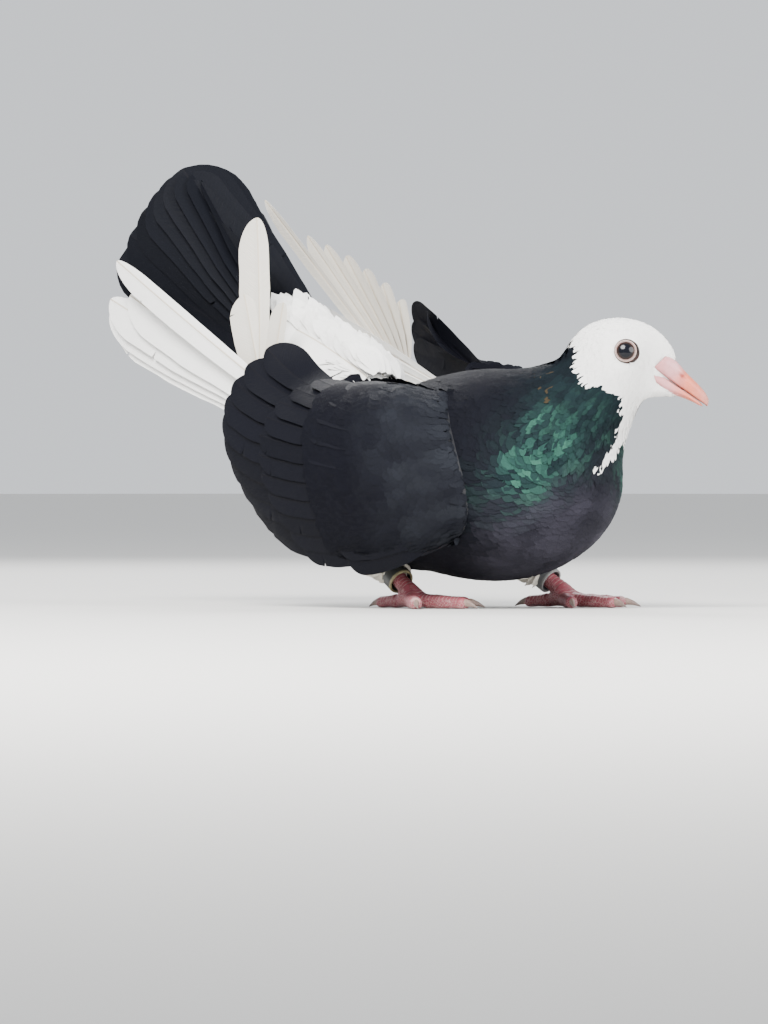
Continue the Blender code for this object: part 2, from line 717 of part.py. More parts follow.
def make_coverts(name, neighbours, white):
    """White coverts in tiers over the base of the tail, or under it."""
    offset, half, pitch, first, tiers = TAIL_COVERTS[name]
    shapes = [ball(TAIL_ROOT + np.array(offset), half, 0, pitch)]
    for count, reach, lift, ahead in tiers:
        for k in range(count):
            root, tip, facing = fan_feather(first + (1 - first) * k / (count - 1), reach, lift)
            start = root + np.array((ahead, 0, 0))
            bow = math.copysign(2.0, lift)
            shapes.append(vane(start, tip, facing, TAIL_COVERT_WIDTH, bow, 0.5, 0.4, COVERT_STATIONS))
    return smooth(carved(fused(name, shapes, white), *neighbours))


def make_leg(side, name, neighbours, skin, feather, horn, band):
    """Feathered thigh, bare shank with four toes, their claws, and the ring round the shank."""
    joint = FOOT_JOINT[side]
    rise, splay = math.radians(SHANK_RISE), math.radians(SHANK_SPLAY * side)
    back = np.array((-math.cos(rise) * math.cos(splay), -math.cos(rise) * math.sin(splay), math.sin(rise)))
    hock = joint + back * SHANK_LENGTH
    thigh = mesh_object(f"thigh_{name}", *ball(hock + np.array(THIGH_OFFSET), THIGH_HALF, 0, -25), feather)
    steps = np.linspace(0, 1, 6)
    centres = joint + np.outer(steps, back * SHANK_LENGTH)
    radii = SHANK_RADIUS * np.interp(steps, (0, 0.2, 1), (1.15, 1.0, 1.1))
    shapes = [tube(round_rings(centres, radii, 7))]
    claws = []
    for number, (length, angle) in enumerate(zip(TOE_LENGTHS, TOE_ANGLES)):
        heading = math.radians(angle * -side)
        ahead = np.array((math.cos(heading), math.sin(heading), 0.0))
        scutes = max(3, round(length / 5.5))
        u = np.repeat(np.arange(scutes + 1), 2)[1:-1] / scutes
        wave = np.tile((1.12, 0.9), scutes)
        radii = TOE_RADIUS * np.interp(u, (0, 1), (1.08, 0.86)) * wave
        u = u + np.tile((0.0, -0.02), scutes)
        height = np.interp(u, (0, 0.3, 0.75, 1), (4.2, 2.35, 2.05, 1.75))
        centres = joint + np.outer(u * length, ahead)
        centres[:, 2] = height
        shapes.append(tube(round_rings(centres, radii, 6)))
        start = joint + ahead * (length + GAP)
        reach = np.array((0, 0.3, 0.65, 1.0))
        claw = start + np.outer(reach * CLAW_LENGTH, ahead)
        claw[:, 2] = (1.9, 2.0, 1.5, 0.45)
        points = tube(round_rings(claw, np.array((1.35, 1.15, 0.75, 0.25)), 6))
        claws.append(smooth(mesh_object(f"claw_{name}_{number + 1}", *points, horn)))
    shapes.append(ball(joint + np.array((0, 0, -1.8)), (4.6, 4.2, 3.2), sides=10))
    foot = fused(f"foot_{name}", shapes, skin)
    sliced(foot, (0, 0, -GAP / 2), (0, 0, -1))
    carved(foot, *neighbours)
    middle = joint + back * RING_UP
    ends = middle + np.outer((-0.5, 0.5), back * RING_HEIGHT)
    outer = mesh_object(f"ring_{name}", *tube(round_rings(ends, (RING_RADIUS,) * 2, 16)), band)
    ends = middle + np.outer((-0.7, 0.7), back * RING_HEIGHT)
    bore = mesh_object("bore", *tube(round_rings(ends, (RING_RADIUS - RING_WALL,) * 2, 16)), band)
    ring = combined(outer, [bore], "DIFFERENCE", "MANIFOLD")
    carved(thigh, *neighbours, foot, ring)
    for obj in (thigh, foot, ring):
        smooth(obj)


def build():
    clear_scene()
    black = finish("black_plumage", (0.012, 0.014, 0.02), 0.55)
    tail_black = finish("black_tail", (0.01, 0.012, 0.018), 0.5)
    white = finish("white_plumage", (0.82, 0.8, 0.76), 0.7)
    eye_finish = finish("eye", (0.01, 0.008, 0.008), 0.1)
    bill_finish = finish("bill", (0.78, 0.42, 0.36), 0.45)
    skin = finish("foot_skin", (0.55, 0.12, 0.14), 0.5)
    horn = finish("claw_horn", (0.5, 0.42, 0.36), 0.4)
    band = finish("ring", (0.16, 0.15, 0.1), 0.4)
    torso, neck, head = make_trunk_and_neck(black, white)
    make_face(head, eye_finish, bill_finish, white)
    tail = make_tail(torso, tail_black)
    body = [torso, neck, tail]
    for name in TAIL_COVERTS:
        body.append(make_coverts(name, (torso, tail), white))
    for name, side in SIDES.items():
        wing = make_wing(side, f"wing_{name}", body, black)
        for part, groups in PRIMARY_GROUPS.items():
            body.append(make_primaries(side, f"primaries_{name}_{part}", groups[side], [*body, wing], white))
        make_leg(side, name, (torso, wing), skin, white, horn, band)
    for obj in (torso, neck, head):
        smooth(obj)


build()
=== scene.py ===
import json
import math

import bmesh
import bpy
import numpy as np
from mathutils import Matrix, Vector
from mathutils.bvhtree import BVHTree
from mathutils.kdtree import KDTree

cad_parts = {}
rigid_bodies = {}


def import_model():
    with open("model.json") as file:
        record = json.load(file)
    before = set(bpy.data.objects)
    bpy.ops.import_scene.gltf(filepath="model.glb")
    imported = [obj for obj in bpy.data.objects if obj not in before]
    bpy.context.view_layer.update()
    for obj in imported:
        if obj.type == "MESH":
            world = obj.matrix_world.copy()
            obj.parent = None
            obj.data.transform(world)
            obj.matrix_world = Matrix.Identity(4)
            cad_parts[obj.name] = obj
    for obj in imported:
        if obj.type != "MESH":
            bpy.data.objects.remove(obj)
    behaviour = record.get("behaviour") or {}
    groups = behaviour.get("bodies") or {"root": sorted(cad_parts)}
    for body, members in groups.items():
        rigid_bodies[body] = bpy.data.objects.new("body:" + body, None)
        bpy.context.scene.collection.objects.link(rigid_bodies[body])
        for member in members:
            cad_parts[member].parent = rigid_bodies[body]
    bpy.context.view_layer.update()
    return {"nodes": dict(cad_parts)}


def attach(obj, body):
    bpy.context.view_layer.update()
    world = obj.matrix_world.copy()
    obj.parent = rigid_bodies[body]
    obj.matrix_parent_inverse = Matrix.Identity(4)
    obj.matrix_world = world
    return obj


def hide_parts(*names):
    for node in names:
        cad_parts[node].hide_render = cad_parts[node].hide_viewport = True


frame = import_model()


# Skin: the flesh of trunk, neck, head, thighs and rump as one closed sheet that all feathers grow from.
# It follows the outline of the flesh and lies inside it by the depth of the coat, and it carries the same
# markings as the coat. Sizes are millimetres of the bird, whose body faces +X and whose left is +Y.
MM = 0.001
FOOTPRINT = np.array((-20.95, 1.4, 0.0))
RIGHT, LEFT = -1, 1
SIDES = {"right": RIGHT, "left": LEFT}
HEAD = np.array((80.2, 10.2, 81.8))
HEAD_YAW = 45.0
TAIL_ROOT = np.array((-42.0, 0.0, 74.0))
FOOT_JOINTS = {RIGHT: np.array((12.5, -19.5, 5.4)), LEFT: np.array((35.0, 30.0, 5.4))}
SHANK_LENGTH, SHANK_RISE, SHANK_SPLAY = 25.0, 33.0, 8.0
SKIN_CELL = 1.5


def unit(vector):
    vector = np.asarray(vector, float)
    return vector / np.maximum(np.linalg.norm(vector, axis=-1, keepdims=True), 1e-9)


def turned(yaw, pitch):
    """The forward, left and up directions after a turn to the left by yaw and nose up by pitch."""
    a, b = math.radians(yaw), math.radians(pitch)
    forward = np.array((math.cos(a) * math.cos(b), math.sin(a) * math.cos(b), math.sin(b)))
    left = np.array((-math.sin(a), math.cos(a), 0.0))
    return np.array((forward, left, np.cross(forward, left)))


def in_head(ahead, out, up):
    """A point given from the middle of the head, out being towards the bird's left."""
    forward, left, _ = turned(HEAD_YAW, 0)
    return HEAD + forward * ahead + left * out + np.array((0, 0, up))


def shank(side):
    """The way the shank leans back from the toes, and its upper end."""
    rise, splay = math.radians(SHANK_RISE), math.radians(SHANK_SPLAY * side)
    back = np.array((-math.cos(rise) * math.cos(splay), -math.cos(rise) * math.sin(splay), math.sin(rise)))
    return back, FOOT_JOINTS[side] + back * SHANK_LENGTH


BILL_BASE = in_head(15, 0, -4)
TRUNK_MASSES = (
    ((17, 0, 44), (55, 35.5, 32.5), 0, 2, 1),
    ((40, 0, 41), (36, 36, 30), 0, 8, 14),
    ((-32, 0, 62), (24, 21, 15), 0, -38, 18),
    ((34, 0, 60), (30, 25, 16), 0, 0, 12),
    ((54, 2, 56), (20, 20, 21), 0, 30, 10),
    ((65, 4.5, 64), (16.5, 16.5, 18), 20, 30, 9),
    ((73.5, 7.5, 73), (14, 12.5, 14), 35, 20, 8),
    (in_head(0, 0, 0.3), (17.6, 11.0, 13.5), HEAD_YAW, -9.0, 5, 2.0),
    (in_head(9.5, 0, -3.0), (7.2, 4.3, 7.6), HEAD_YAW, -24.0, 4),
    (in_head(14.0, 0, -9.4), (6.3, 3.2, 2.9), HEAD_YAW, -6.0, 3),
)
TUFT_MASSES = (
    (TAIL_ROOT + (9, 0, 5.5), (15, 12, 5), 0, -24, 5),
    (TAIL_ROOT + (-2, 0, -11), (19, 14, 8), 0, -34, 5),
    (shank(RIGHT)[1] + (4, 0, -2), (14, 8.5, 8), 0, -25, 4),
    (shank(LEFT)[1] + (4, 0, -2), (14, 8.5, 8), 0, -25, 4),
)


def mass_distance(points, centre, half, yaw, pitch, taper=0.0):
    """How far points lie outside an ellipsoid, below zero inside it, its front narrowed by the taper."""
    half = np.asarray(half, float)
    local = (points - np.asarray(centre, float)) @ turned(yaw, pitch).T
    local[:, 1] *= 1 + taper * np.clip(local[:, 0] / half[0], 0, 1) ** 2
    near = np.linalg.norm(local / half, axis=1)
    slope = np.linalg.norm(local / half**2, axis=1)
    return near * (near - 1) / np.maximum(slope, 1e-9)


def melted(points, masses):
    """Distance outside masses that run into each other over their own reach."""
    distance = np.full(len(points), 1e3)
    for centre, half, yaw, pitch, reach, *taper in masses:
        one = mass_distance(points, centre, half, yaw, pitch, *taper)
        share = np.maximum(reach - np.abs(one - distance), 0) / reach
        distance = np.minimum(one, distance) - share**2 * reach / 4
    return distance


def flesh(points):
    return melted(points, TRUNK_MASSES + TUFT_MASSES)


def coat_depth(points):
    """How deep the coat lies on the skin, least beside the bill."""
    return np.interp(np.linalg.norm(points - BILL_BASE, axis=1), (6, 30, 60), (0.45, 0.9, 1.6))


def skin_field(points):
    return flesh(points) + coat_depth(points)


def slope_of(field, points, step=0.05):
    columns = []
    for axis in range(3):
        offset = np.zeros(3)
        offset[axis] = step
        columns.append((field(points + offset) - field(points - offset)) / (2 * step))
    return np.stack(columns, 1)


def surface_net(field, low, high, cell):
    """Closed mesh of near-square faces where field is zero, between the corners low and high."""
    axes = [np.arange(a, b + cell, cell) for a, b in zip(low, high)]
    grid = np.stack(np.meshgrid(*axes, indexing="ij"), -1)
    shape = grid.shape[:3]
    inside = (field(grid.reshape(-1, 3)) < 0).reshape(shape)
    spans = [(slice(0, -1), slice(1, None))] * 3
    corners = [inside[a, b, c] for a in spans[0] for b in spans[1] for c in spans[2]]
    count = sum(corner.astype(int) for corner in corners)
    mixed = (count > 0) & (count < 8)
    number = np.full(mixed.shape, -1)
    number[mixed] = np.arange(mixed.sum())
    points = (np.argwhere(mixed) + 0.5) * cell + np.asarray(low, float)
    for _ in range(6):
        slope = slope_of(field, points)
        step = field(points)[:, None] * slope / np.maximum((slope**2).sum(1, keepdims=True), 0.2)
        points -= np.clip(step, -cell / 2, cell / 2)
    faces = []
    for axis in range(3):
        u, v = [a for a in range(3) if a != axis]
        first = inside.take(range(shape[axis] - 1), axis)
        second = inside.take(range(1, shape[axis]), axis)
        for outward in (True, False):
            crossing = np.argwhere((first & ~second) if outward else (second & ~first))
            quad = []
            for du, dv in ((-1, -1), (0, -1), (0, 0), (-1, 0)):
                cell_of = crossing.copy()
                cell_of[:, u] += du
                cell_of[:, v] += dv
                quad.append(number[tuple(cell_of.T)])
            quad = np.stack(quad, 1)
            faces.append(quad if outward == (axis != 1) else quad[:, ::-1])
    return points, np.concatenate(faces)


def give(mesh, name, values, domain="POINT"):
    """Stores one value, vector or colour for each point or corner."""
    values = np.asarray(values, np.float32)
    width = values.shape[1] if values.ndim > 1 else 1
    kind, field = {
        1: ("FLOAT", "value"),
        2: ("FLOAT2", "vector"),
        3: ("FLOAT_VECTOR", "vector"),
        4: ("FLOAT_COLOR", "color"),
    }[width]
    layer = mesh.attributes.new(name, kind, domain)
    layer.data.foreach_set(field, values.ravel())


def linked(name, data):
    """A new object in the scene, at the origin."""
    obj = bpy.data.objects.new(name, data)
    bpy.context.scene.collection.objects.link(obj)
    return obj


def make(name, points, faces, material, **values):
    """A smooth object from points in the bird's millimetres, with values stored on its points."""
    mesh = bpy.data.meshes.new(name)
    placed = (np.asarray(points, float) - FOOTPRINT) * MM
    mesh.from_pydata(placed.tolist(), [], [list(map(int, face)) for face in faces])
    for key, value in values.items():
        give(mesh, key, value)
    mesh.shade_smooth()
    mesh.materials.append(material)
    return linked(name, mesh)


def node(tree, kind, inputs=(), **settings):
    """A node with its settings made and its inputs filled by values or by other nodes' outputs."""
    made = tree.nodes.new(kind)
    for key, value in settings.items():
        setattr(made, key, value)
    for key, value in dict(inputs).items():
        if isinstance(value, bpy.types.NodeSocket):
            tree.links.new(value, made.inputs[key])
        else:
            made.inputs[key].default_value = value
    return made


def sum_of(tree, operation, *values, clamp=False):
    kind = "ShaderNodeMath"
    return node(tree, kind, enumerate(values), operation=operation, use_clamp=clamp).outputs[0]


def stored(tree, name, output="Fac"):
    return node(tree, "ShaderNodeAttribute", attribute_name=name).outputs[output]


def noise(tree, scale, detail=2.0):
    """Even noise from 0 to 1 in the object's own space."""
    place = node(tree, "ShaderNodeTexCoord").outputs["Object"]
    texture = node(tree, "ShaderNodeTexNoise", {"Vector": place, "Scale": scale, "Detail": detail})
    return texture.outputs["Fac"]


def scaled(tree, vector, by):
    """A colour or a direction times a number."""
    return node(tree, "ShaderNodeVectorMath", {0: vector, "Scale": by}, operation="SCALE").outputs[0]


def blank(name, roughness, **sockets):
    """A material with its shader, and the sockets that are the same all over it."""
    material = bpy.data.materials.new(name)
    material.use_nodes = True
    shader = material.node_tree.nodes["Principled BSDF"]
    shader.inputs["Roughness"].default_value = roughness
    for key, value in sockets.items():
        shader.inputs[key.replace("_", " ")].default_value = value
    return material, material.node_tree, shader


def bumped(tree, shader, height, distance, strength=1.0):
    bump = node(tree, "ShaderNodeBump", {"Height": height, "Strength": strength, "Distance": distance})
    tree.links.new(bump.outputs[0], shader.inputs["Normal"])


BLACK = np.array((0.0038, 0.0041, 0.0070))
CHEST = np.array((0.0250, 0.0236, 0.0330))
TEAL = np.array((0.0090, 0.0190, 0.0220))
GREENS = np.array(((0.009, 0.017, 0.020), (0.016, 0.042, 0.038), (0.034, 0.100, 0.074)))
BROWN = np.array((0.040, 0.030, 0.018))
WHITE = np.array((0.90, 0.895, 0.875))
CREAM = np.array((0.74, 0.70, 0.62))

# Back edge of the white of head and throat: height over the middle of the head, and how far ahead of it,
# and the same for the front edge of its tip, beyond which the throat is black
WHITE_EDGE = np.array(
    (
        (-37.5, 60.0), (-37.0, -8.5), (-34.8, -9.3), (-32.4, -6.9), (-29.3, -4.5),
        (-26.1, -2.9), (-23.0, -2.6), (-20.2, 0.2), (-17.4, -1.1), (-14.3, 0.2),
        (-12.3, -0.9), (-11.1, -4.5), (-9.5, -7.1), (-9.1, -12.0), (-7.2, -13.7),
        (-2.8, -15.0), (0.4, -14.8), (5.9, -17.4), (6.5, -60.0),
    )
)
THROAT_FRONT = np.array(
    ((-36.0, -8.1), (-31.7, -2.9), (-28.5, -0.9), (-24.9, 2.2), (-22.0, 8.0), (-20.0, 60.0))
)
# On the far side of the throat's middle the white ends higher up
FAR_EDGE = np.array(((-24.0, 40.0), (-19.0, 4.0), (-12.0, -1.0)))
THROAT_MIDDLE = np.array(((-38.0, 16.0), (-26.0, 12.7), (-18.0, 6.7), (0.0, 0.0)))


def whiteness(points, ragged=0.0):
    """True on the white of the head and its stripe down the throat, and on the tufts behind and below."""
    forward, left, _ = turned(HEAD_YAW, 0)
    offset = points - HEAD
    ahead, high = offset @ forward + ragged, offset[:, 2]
    edge = np.interp(high, *WHITE_EDGE.T)
    beyond = offset @ left > np.interp(high, *THROAT_MIDDLE.T)
    edge = np.where(beyond, np.maximum(edge, np.interp(high, *FAR_EDGE.T, right=-60)), edge)
    tufts = melted(points, TUFT_MASSES) < melted(points, TRUNK_MASSES)
    return (ahead > edge) & (ahead < np.interp(high, *THROAT_FRONT.T)) | tufts


def cloud(points, size):
    """Soft patches from -1 to 1, about that large."""
    turns = points / size @ np.array(((1.0, 0.4, -0.3), (-0.5, 1.1, 0.6), (0.2, -0.7, 1.2)))
    return np.sin(turns + 2 * np.roll(np.sin(turns * 0.7 + 1.3), 1, 1)).mean(1)


def beside(points):
    """How far ahead points show when the near or the far side of the neck is seen half from the front."""
    middle = np.interp(points[:, 2], (56, 73), (2, 9))
    return (points[:, 0] + middle - np.abs(points[:, 1] - middle)) * 0.7071


def patch(points, ahead, above, long, high, slant):
    """A soft oval on the side of the neck, 1 in its middle, slanted forward and up."""
    x, z = beside(points) - ahead, points[:, 2] - above
    a = math.radians(slant)
    along, across = x * math.cos(a) + z * math.sin(a), z * math.cos(a) - x * math.sin(a)
    return np.exp(-((along / long) ** 2) - (across / high) ** 2)


def opaque(colours):
    """Colours with a fourth value of 1."""
    return np.concatenate((colours, np.ones((len(colours), 1))), 1)


def plumage(points, chance):
    """Colour and metallic gleam of the coat, with one even random number from 0 to 1 for each point."""
    front = np.clip((beside(points) - 12) / 14, 0, 1)
    chest = patch(points, 38, 28, 30, 18, 10) * (1 + 0.5 * cloud(points, 3.0))
    colour = BLACK + (CHEST - BLACK) * (chest * front)[:, None]
    upper = np.minimum(patch(points, 50, 67, 17, 13, 35) * 1.3, 1)
    colour = colour + (TEAL - colour) * (upper * (0.6 + 0.4 * cloud(points, 1.5)))[:, None]
    sheen = patch(points, 39.5, 51.5, 18, 8.5, 36) + 0.7 * patch(points, 31.5, 45.5, 7, 5, 30)
    sheen = np.clip(sheen * (1 + 0.35 * cloud(points, 2.2)) + 0.5 * patch(points, 35.6, 62, 5, 3, 30), 0, 1)
    x, z = beside(points), points[:, 2]
    streaky = cloud(np.stack(((x + z) / 5, z - x, (x + z) / 8), 1), 1.1) + 0.7 * chance - 0.35
    streak = np.stack([np.interp(streaky, (-0.5, 0.1, 0.75), shade) for shade in GREENS.T], 1)
    colour = colour + (streak - colour) * np.minimum(sheen * 1.3, 1)[:, None]
    rusty = (patch(points, 38, 72, 3, 6, 0) > 0.4) & (chance > 0.85)
    colour[rusty] = BROWN
    colour = colour * (0.92 + 0.16 * ((chance * 7.3) % 1))[:, None]
    white = whiteness(points, (chance - 0.5) * 2.5)
    low = np.clip((32 - points[:, 2]) / 10, 0, 1)[:, None]
    pale = WHITE + (CREAM - WHITE) * low
    colour = np.where(white[:, None], pale * (0.97 + 0.03 * chance)[:, None], colour)
    return opaque(colour), np.where(white, 0.0, 0.45 * sheen + 0.2 * upper)


def skin_material():
    material, tree, shader = blank("skin", 0.7)
    grain = noise(tree, 900.0, 4.0)
    shade = sum_of(tree, "MULTIPLY_ADD", grain, 0.5, 0.6)
    tree.links.new(scaled(tree, stored(tree, "plumage", "Color"), shade), shader.inputs["Base Color"])
    bumped(tree, shader, grain, 0.0003)
    return material


skin_points, skin_faces = surface_net(skin_field, (-68, -42, 6), (104, 44, 102), SKIN_CELL)
skin_colour, _ = plumage(skin_points, np.full(len(skin_points), 0.5))
skin = make("skin", skin_points, skin_faces, skin_material(), plumage=skin_colour)
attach(skin, "root")
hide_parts("torso", "neck", "head", "thigh_right", "thigh_left")


# Body coat: thousands of small feathers of trunk, neck and head, black with a purple and green gleam
# where they lie over the neck, white on the head, throat and thighs. Each grows from the skin, lies back
# over the roots of the next and frays at its tip into free barbs.
PATCH = 0.003
FEATHER_ROWS = np.array((0.0, 0.28, 0.52, 0.78, 1.0))
FEATHER_CAMBER, FEATHER_THICKNESS = 0.012, 0.008
rng = np.random.default_rng(7)


def feather_form(name, halves, tips):
    """A closed small feather, a unit long and a unit wide, its rounded tip split between its barbs."""
    count = len(tips)
    columns = np.linspace(-0.5, 0.5, count)
    along = np.repeat(FEATHER_ROWS[:, None], count, 1)
    along[-1] = tips
    along[-2] -= 0.3 * columns**2
    across = columns * np.array(halves)[:, None]
    arch = -FEATHER_CAMBER * (2 * across) ** 2
    rim = (1 - np.abs(columns) * 2) * FEATHER_THICKNESS
    top = np.stack((across, along, arch + rim), -1).reshape(-1, 3)
    below = np.stack((across, along, arch - rim), -1)[1:-1, 1:-1].reshape(-1, 3)
    upper = np.arange(5 * count).reshape(5, count)
    under = upper.copy()
    under[1:-1, 1:-1] = 5 * count + np.arange(3 * (count - 2)).reshape(3, count - 2)
    faces = []
    for sheet, flip in ((upper, False), (under, True)):
        for r in range(4):
            for c in range(count - 1):
                quad = (sheet[r, c], sheet[r, c + 1], sheet[r + 1, c + 1], sheet[r + 1, c])
                faces.append([int(i) for i in (quad[::-1] if flip else quad)])
    points = np.concatenate((top, below))
    mesh = bpy.data.meshes.new(name)
    mesh.from_pydata(points.tolist(), [], faces)
    mesh.shade_smooth()
    mesh.set_sharp_from_angle(angle=1.0)
    give(mesh, "vane", points * (1, 1, 0))
    return bpy.data.objects.new(name, mesh)


def frayed(name, halves, tips, fray):
    """A collection of four feathers alike but for the fraying of their tips, which a root picks from."""
    group = bpy.data.collections.new(name)
    for k in range(4):
        worn = np.array(tips) - fray * rng.random(len(tips))
        group.objects.link(feather_form(f"{name}_{k}", halves, worn))
    return group


def growing_tree():
    """Sets a form on each root along its lie, bends it to the body, and lays out one patch for each."""
    tree = bpy.data.node_groups.new("growing", "GeometryNodeTree")
    kinds = {"Roots": "Geometry", "Forms": "Collection", "Finish": "Material", "Patch": "Float"}
    for name, kind in kinds.items():
        tree.interface.new_socket(name, in_out="INPUT", socket_type=f"NodeSocket{kind}")
    tree.interface.new_socket("Coat", in_out="OUTPUT", socket_type="NodeSocketGeometry")
    given = tree.nodes.new("NodeGroupInput").outputs

    def named(name, kind="FLOAT"):
        found = node(tree, "GeometryNodeInputNamedAttribute", {"Name": name}, data_type=kind)
        return found.outputs["Attribute"]

    def vector(operation, *values):
        return node(tree, "ShaderNodeVectorMath", enumerate(values), operation=operation).outputs[0]

    lie, out = named("lie", "FLOAT_VECTOR"), named("out", "FLOAT_VECTOR")
    turn = node(
        tree,
        "FunctionNodeAxesToRotation",
        {"Primary Axis": lie, "Secondary Axis": out},
        primary_axis="Y",
        secondary_axis="Z",
    )
    forms = node(tree, "GeometryNodeCollectionInfo", {"Collection": given["Forms"]})
    forms.inputs["Separate Children"].default_value = True
    forms.inputs["Reset Children"].default_value = True
    set_on = node(
        tree,
        "GeometryNodeInstanceOnPoints",
        {
            "Points": given["Roots"],
            "Instance": forms.outputs[0],
            "Pick Instance": True,
            "Instance Index": named("kind", "INT"),
            "Rotation": turn.outputs[0],
            "Scale": named("size", "FLOAT_VECTOR"),
        },
    )
    real = node(tree, "GeometryNodeRealizeInstances", {"Geometry": set_on.outputs[0]}).outputs[0]
    vane = named("vane", "FLOAT_VECTOR")
    along = node(tree, "ShaderNodeSeparateXYZ", {0: vane}).outputs["Y"]
    fall = sum_of(tree, "MULTIPLY", named("droop"), sum_of(tree, "MULTIPLY", along, along))
    rise = sum_of(tree, "MULTIPLY_ADD", named("lift"), along, sum_of(tree, "MULTIPLY", fall, -1.0))
    offset = scaled(tree, out, rise)
    bent = node(tree, "GeometryNodeSetPosition", {"Geometry": real, "Offset": offset}).outputs[0]
    chance = node(tree, "ShaderNodeCombineXYZ", {"Z": named("chance")}).outputs[0]
    barb = vector("MULTIPLY_ADD", vane, named("size", "FLOAT_VECTOR"), chance)
    kept = node(
        tree,
        "GeometryNodeStoreNamedAttribute",
        {"Geometry": bent, "Name": "barb", "Value": barb},
        data_type="FLOAT_VECTOR",
    ).outputs[0]
    reach = node(tree, "ShaderNodeCombineXYZ", {"X": given["Patch"], "Y": given["Patch"]}).outputs[0]
    mapped = vector("MULTIPLY_ADD", vane, reach, named("place", "FLOAT_VECTOR"))
    mapped = node(
        tree,
        "GeometryNodeStoreNamedAttribute",
        {"Geometry": kept, "Name": "OFBake", "Value": mapped},
        data_type="FLOAT2",
        domain="CORNER",
    ).outputs[0]
    coated = node(tree, "GeometryNodeSetMaterial", {"Geometry": mapped, "Material": given["Finish"]})
    node(tree, "NodeGroupOutput", {"Coat": coated.outputs[0]})
    return tree


GROWING = growing_tree()


def grow(name, roots, forms, material, lie, out, size, place, colour, gleam, droop, lift):
    """One coat piece: a form on every root, all in the bird's millimetres."""
    mesh = bpy.data.meshes.new(name)
    mesh.from_pydata(((roots - FOOTPRINT) * MM).tolist(), [], [])
    count = len(roots)
    place = np.asarray(place, float)
    place = (place - place.min(0)) / np.maximum(np.ptp(place, axis=0), 1e-6) * 0.98 + 0.01
    give(mesh, "lie", lie)
    give(mesh, "out", out)
    give(mesh, "size", size * MM)
    give(mesh, "droop", np.broadcast_to(droop, count) * MM)
    give(mesh, "lift", np.broadcast_to(lift, count) * MM)
    give(mesh, "place", np.concatenate((place, np.zeros((count, 1))), 1))
    give(mesh, "plumage", colour)
    give(mesh, "gleam", np.broadcast_to(gleam, count))
    give(mesh, "chance", rng.random(count))
    mesh.attributes.new("kind", "INT", "POINT").data.foreach_set(
        "value", rng.integers(0, len(forms.objects), count).astype(np.int32)
    )
    seeds = linked(name, mesh)
    grower = seeds.modifiers.new("growing", "NODES")
    grower.node_group = GROWING
    values = {"Forms": forms, "Finish": material, "Patch": PATCH}
    for item in GROWING.interface.items_tree:
        if item.name in values:
            grower[item.identifier] = values[item.name]
    graph = bpy.context.evaluated_depsgraph_get()
    graph.update()
    grown = bpy.data.meshes.new_from_object(seeds.evaluated_get(graph), depsgraph=graph)
    bpy.data.objects.remove(seeds)
    for key in ("lie", "out", "size", "droop", "lift", "place", "kind", "chance"):
        grown.attributes.remove(grown.attributes[key])
    grown.name = name
    obj = linked(name, grown)
    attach(obj, "root")
    return obj


def barbs_group():
    """Fine barbs that leave the shaft at a slant, from how far across and along a feather a point lies."""
    tree = bpy.data.node_groups.new("barbs", "ShaderNodeTree")
    for name in ("Slant", "Pitch", "Shaft"):
        tree.interface.new_socket(name, in_out="INPUT", socket_type="NodeSocketFloat")
    for name in ("Height", "Shade", "On Shaft"):
        tree.interface.new_socket(name, in_out="OUTPUT", socket_type="NodeSocketFloat")
    given = tree.nodes.new("NodeGroupInput").outputs
    barb = node(tree, "ShaderNodeSeparateXYZ", {0: stored(tree, "barb", "Vector")}).outputs
    across = sum_of(tree, "ABSOLUTE", barb["X"])
    slant = sum_of(tree, "SUBTRACT", barb["Y"], sum_of(tree, "MULTIPLY", across, given["Slant"]))
    wavy = node(tree, "ShaderNodeCombineXYZ", {"X": slant, "Y": sum_of(tree, "MULTIPLY", across, 0.12)})
    clump = node(tree, "ShaderNodeTexNoise", {"Vector": wavy.outputs[0], "Scale": 1500.0, "Detail": 3.0})
    turns = sum_of(tree, "MULTIPLY", sum_of(tree, "DIVIDE", slant, given["Pitch"]), math.tau)
    wave = sum_of(tree, "SINE", sum_of(tree, "MULTIPLY_ADD", clump.outputs["Fac"], 9.0, turns))
    shaft = sum_of(tree, "SUBTRACT", 1.0, sum_of(tree, "DIVIDE", across, given["Shaft"]), clamp=True)
    height = sum_of(tree, "MULTIPLY_ADD", wave, 0.35, sum_of(tree, "MULTIPLY", clump.outputs["Fac"], 1.2))
    shade = sum_of(tree, "MULTIPLY_ADD", wave, 0.08, clump.outputs["Fac"])
    node(tree, "NodeGroupOutput", {"Height": height, "Shade": shade, "On Shaft": shaft})
    return tree


BARBS = barbs_group()


def mix_colours(tree, factor, first, second):
    return node(tree, "ShaderNodeMix", {0: factor, 6: first, 7: second}, data_type="RGBA").outputs[2]


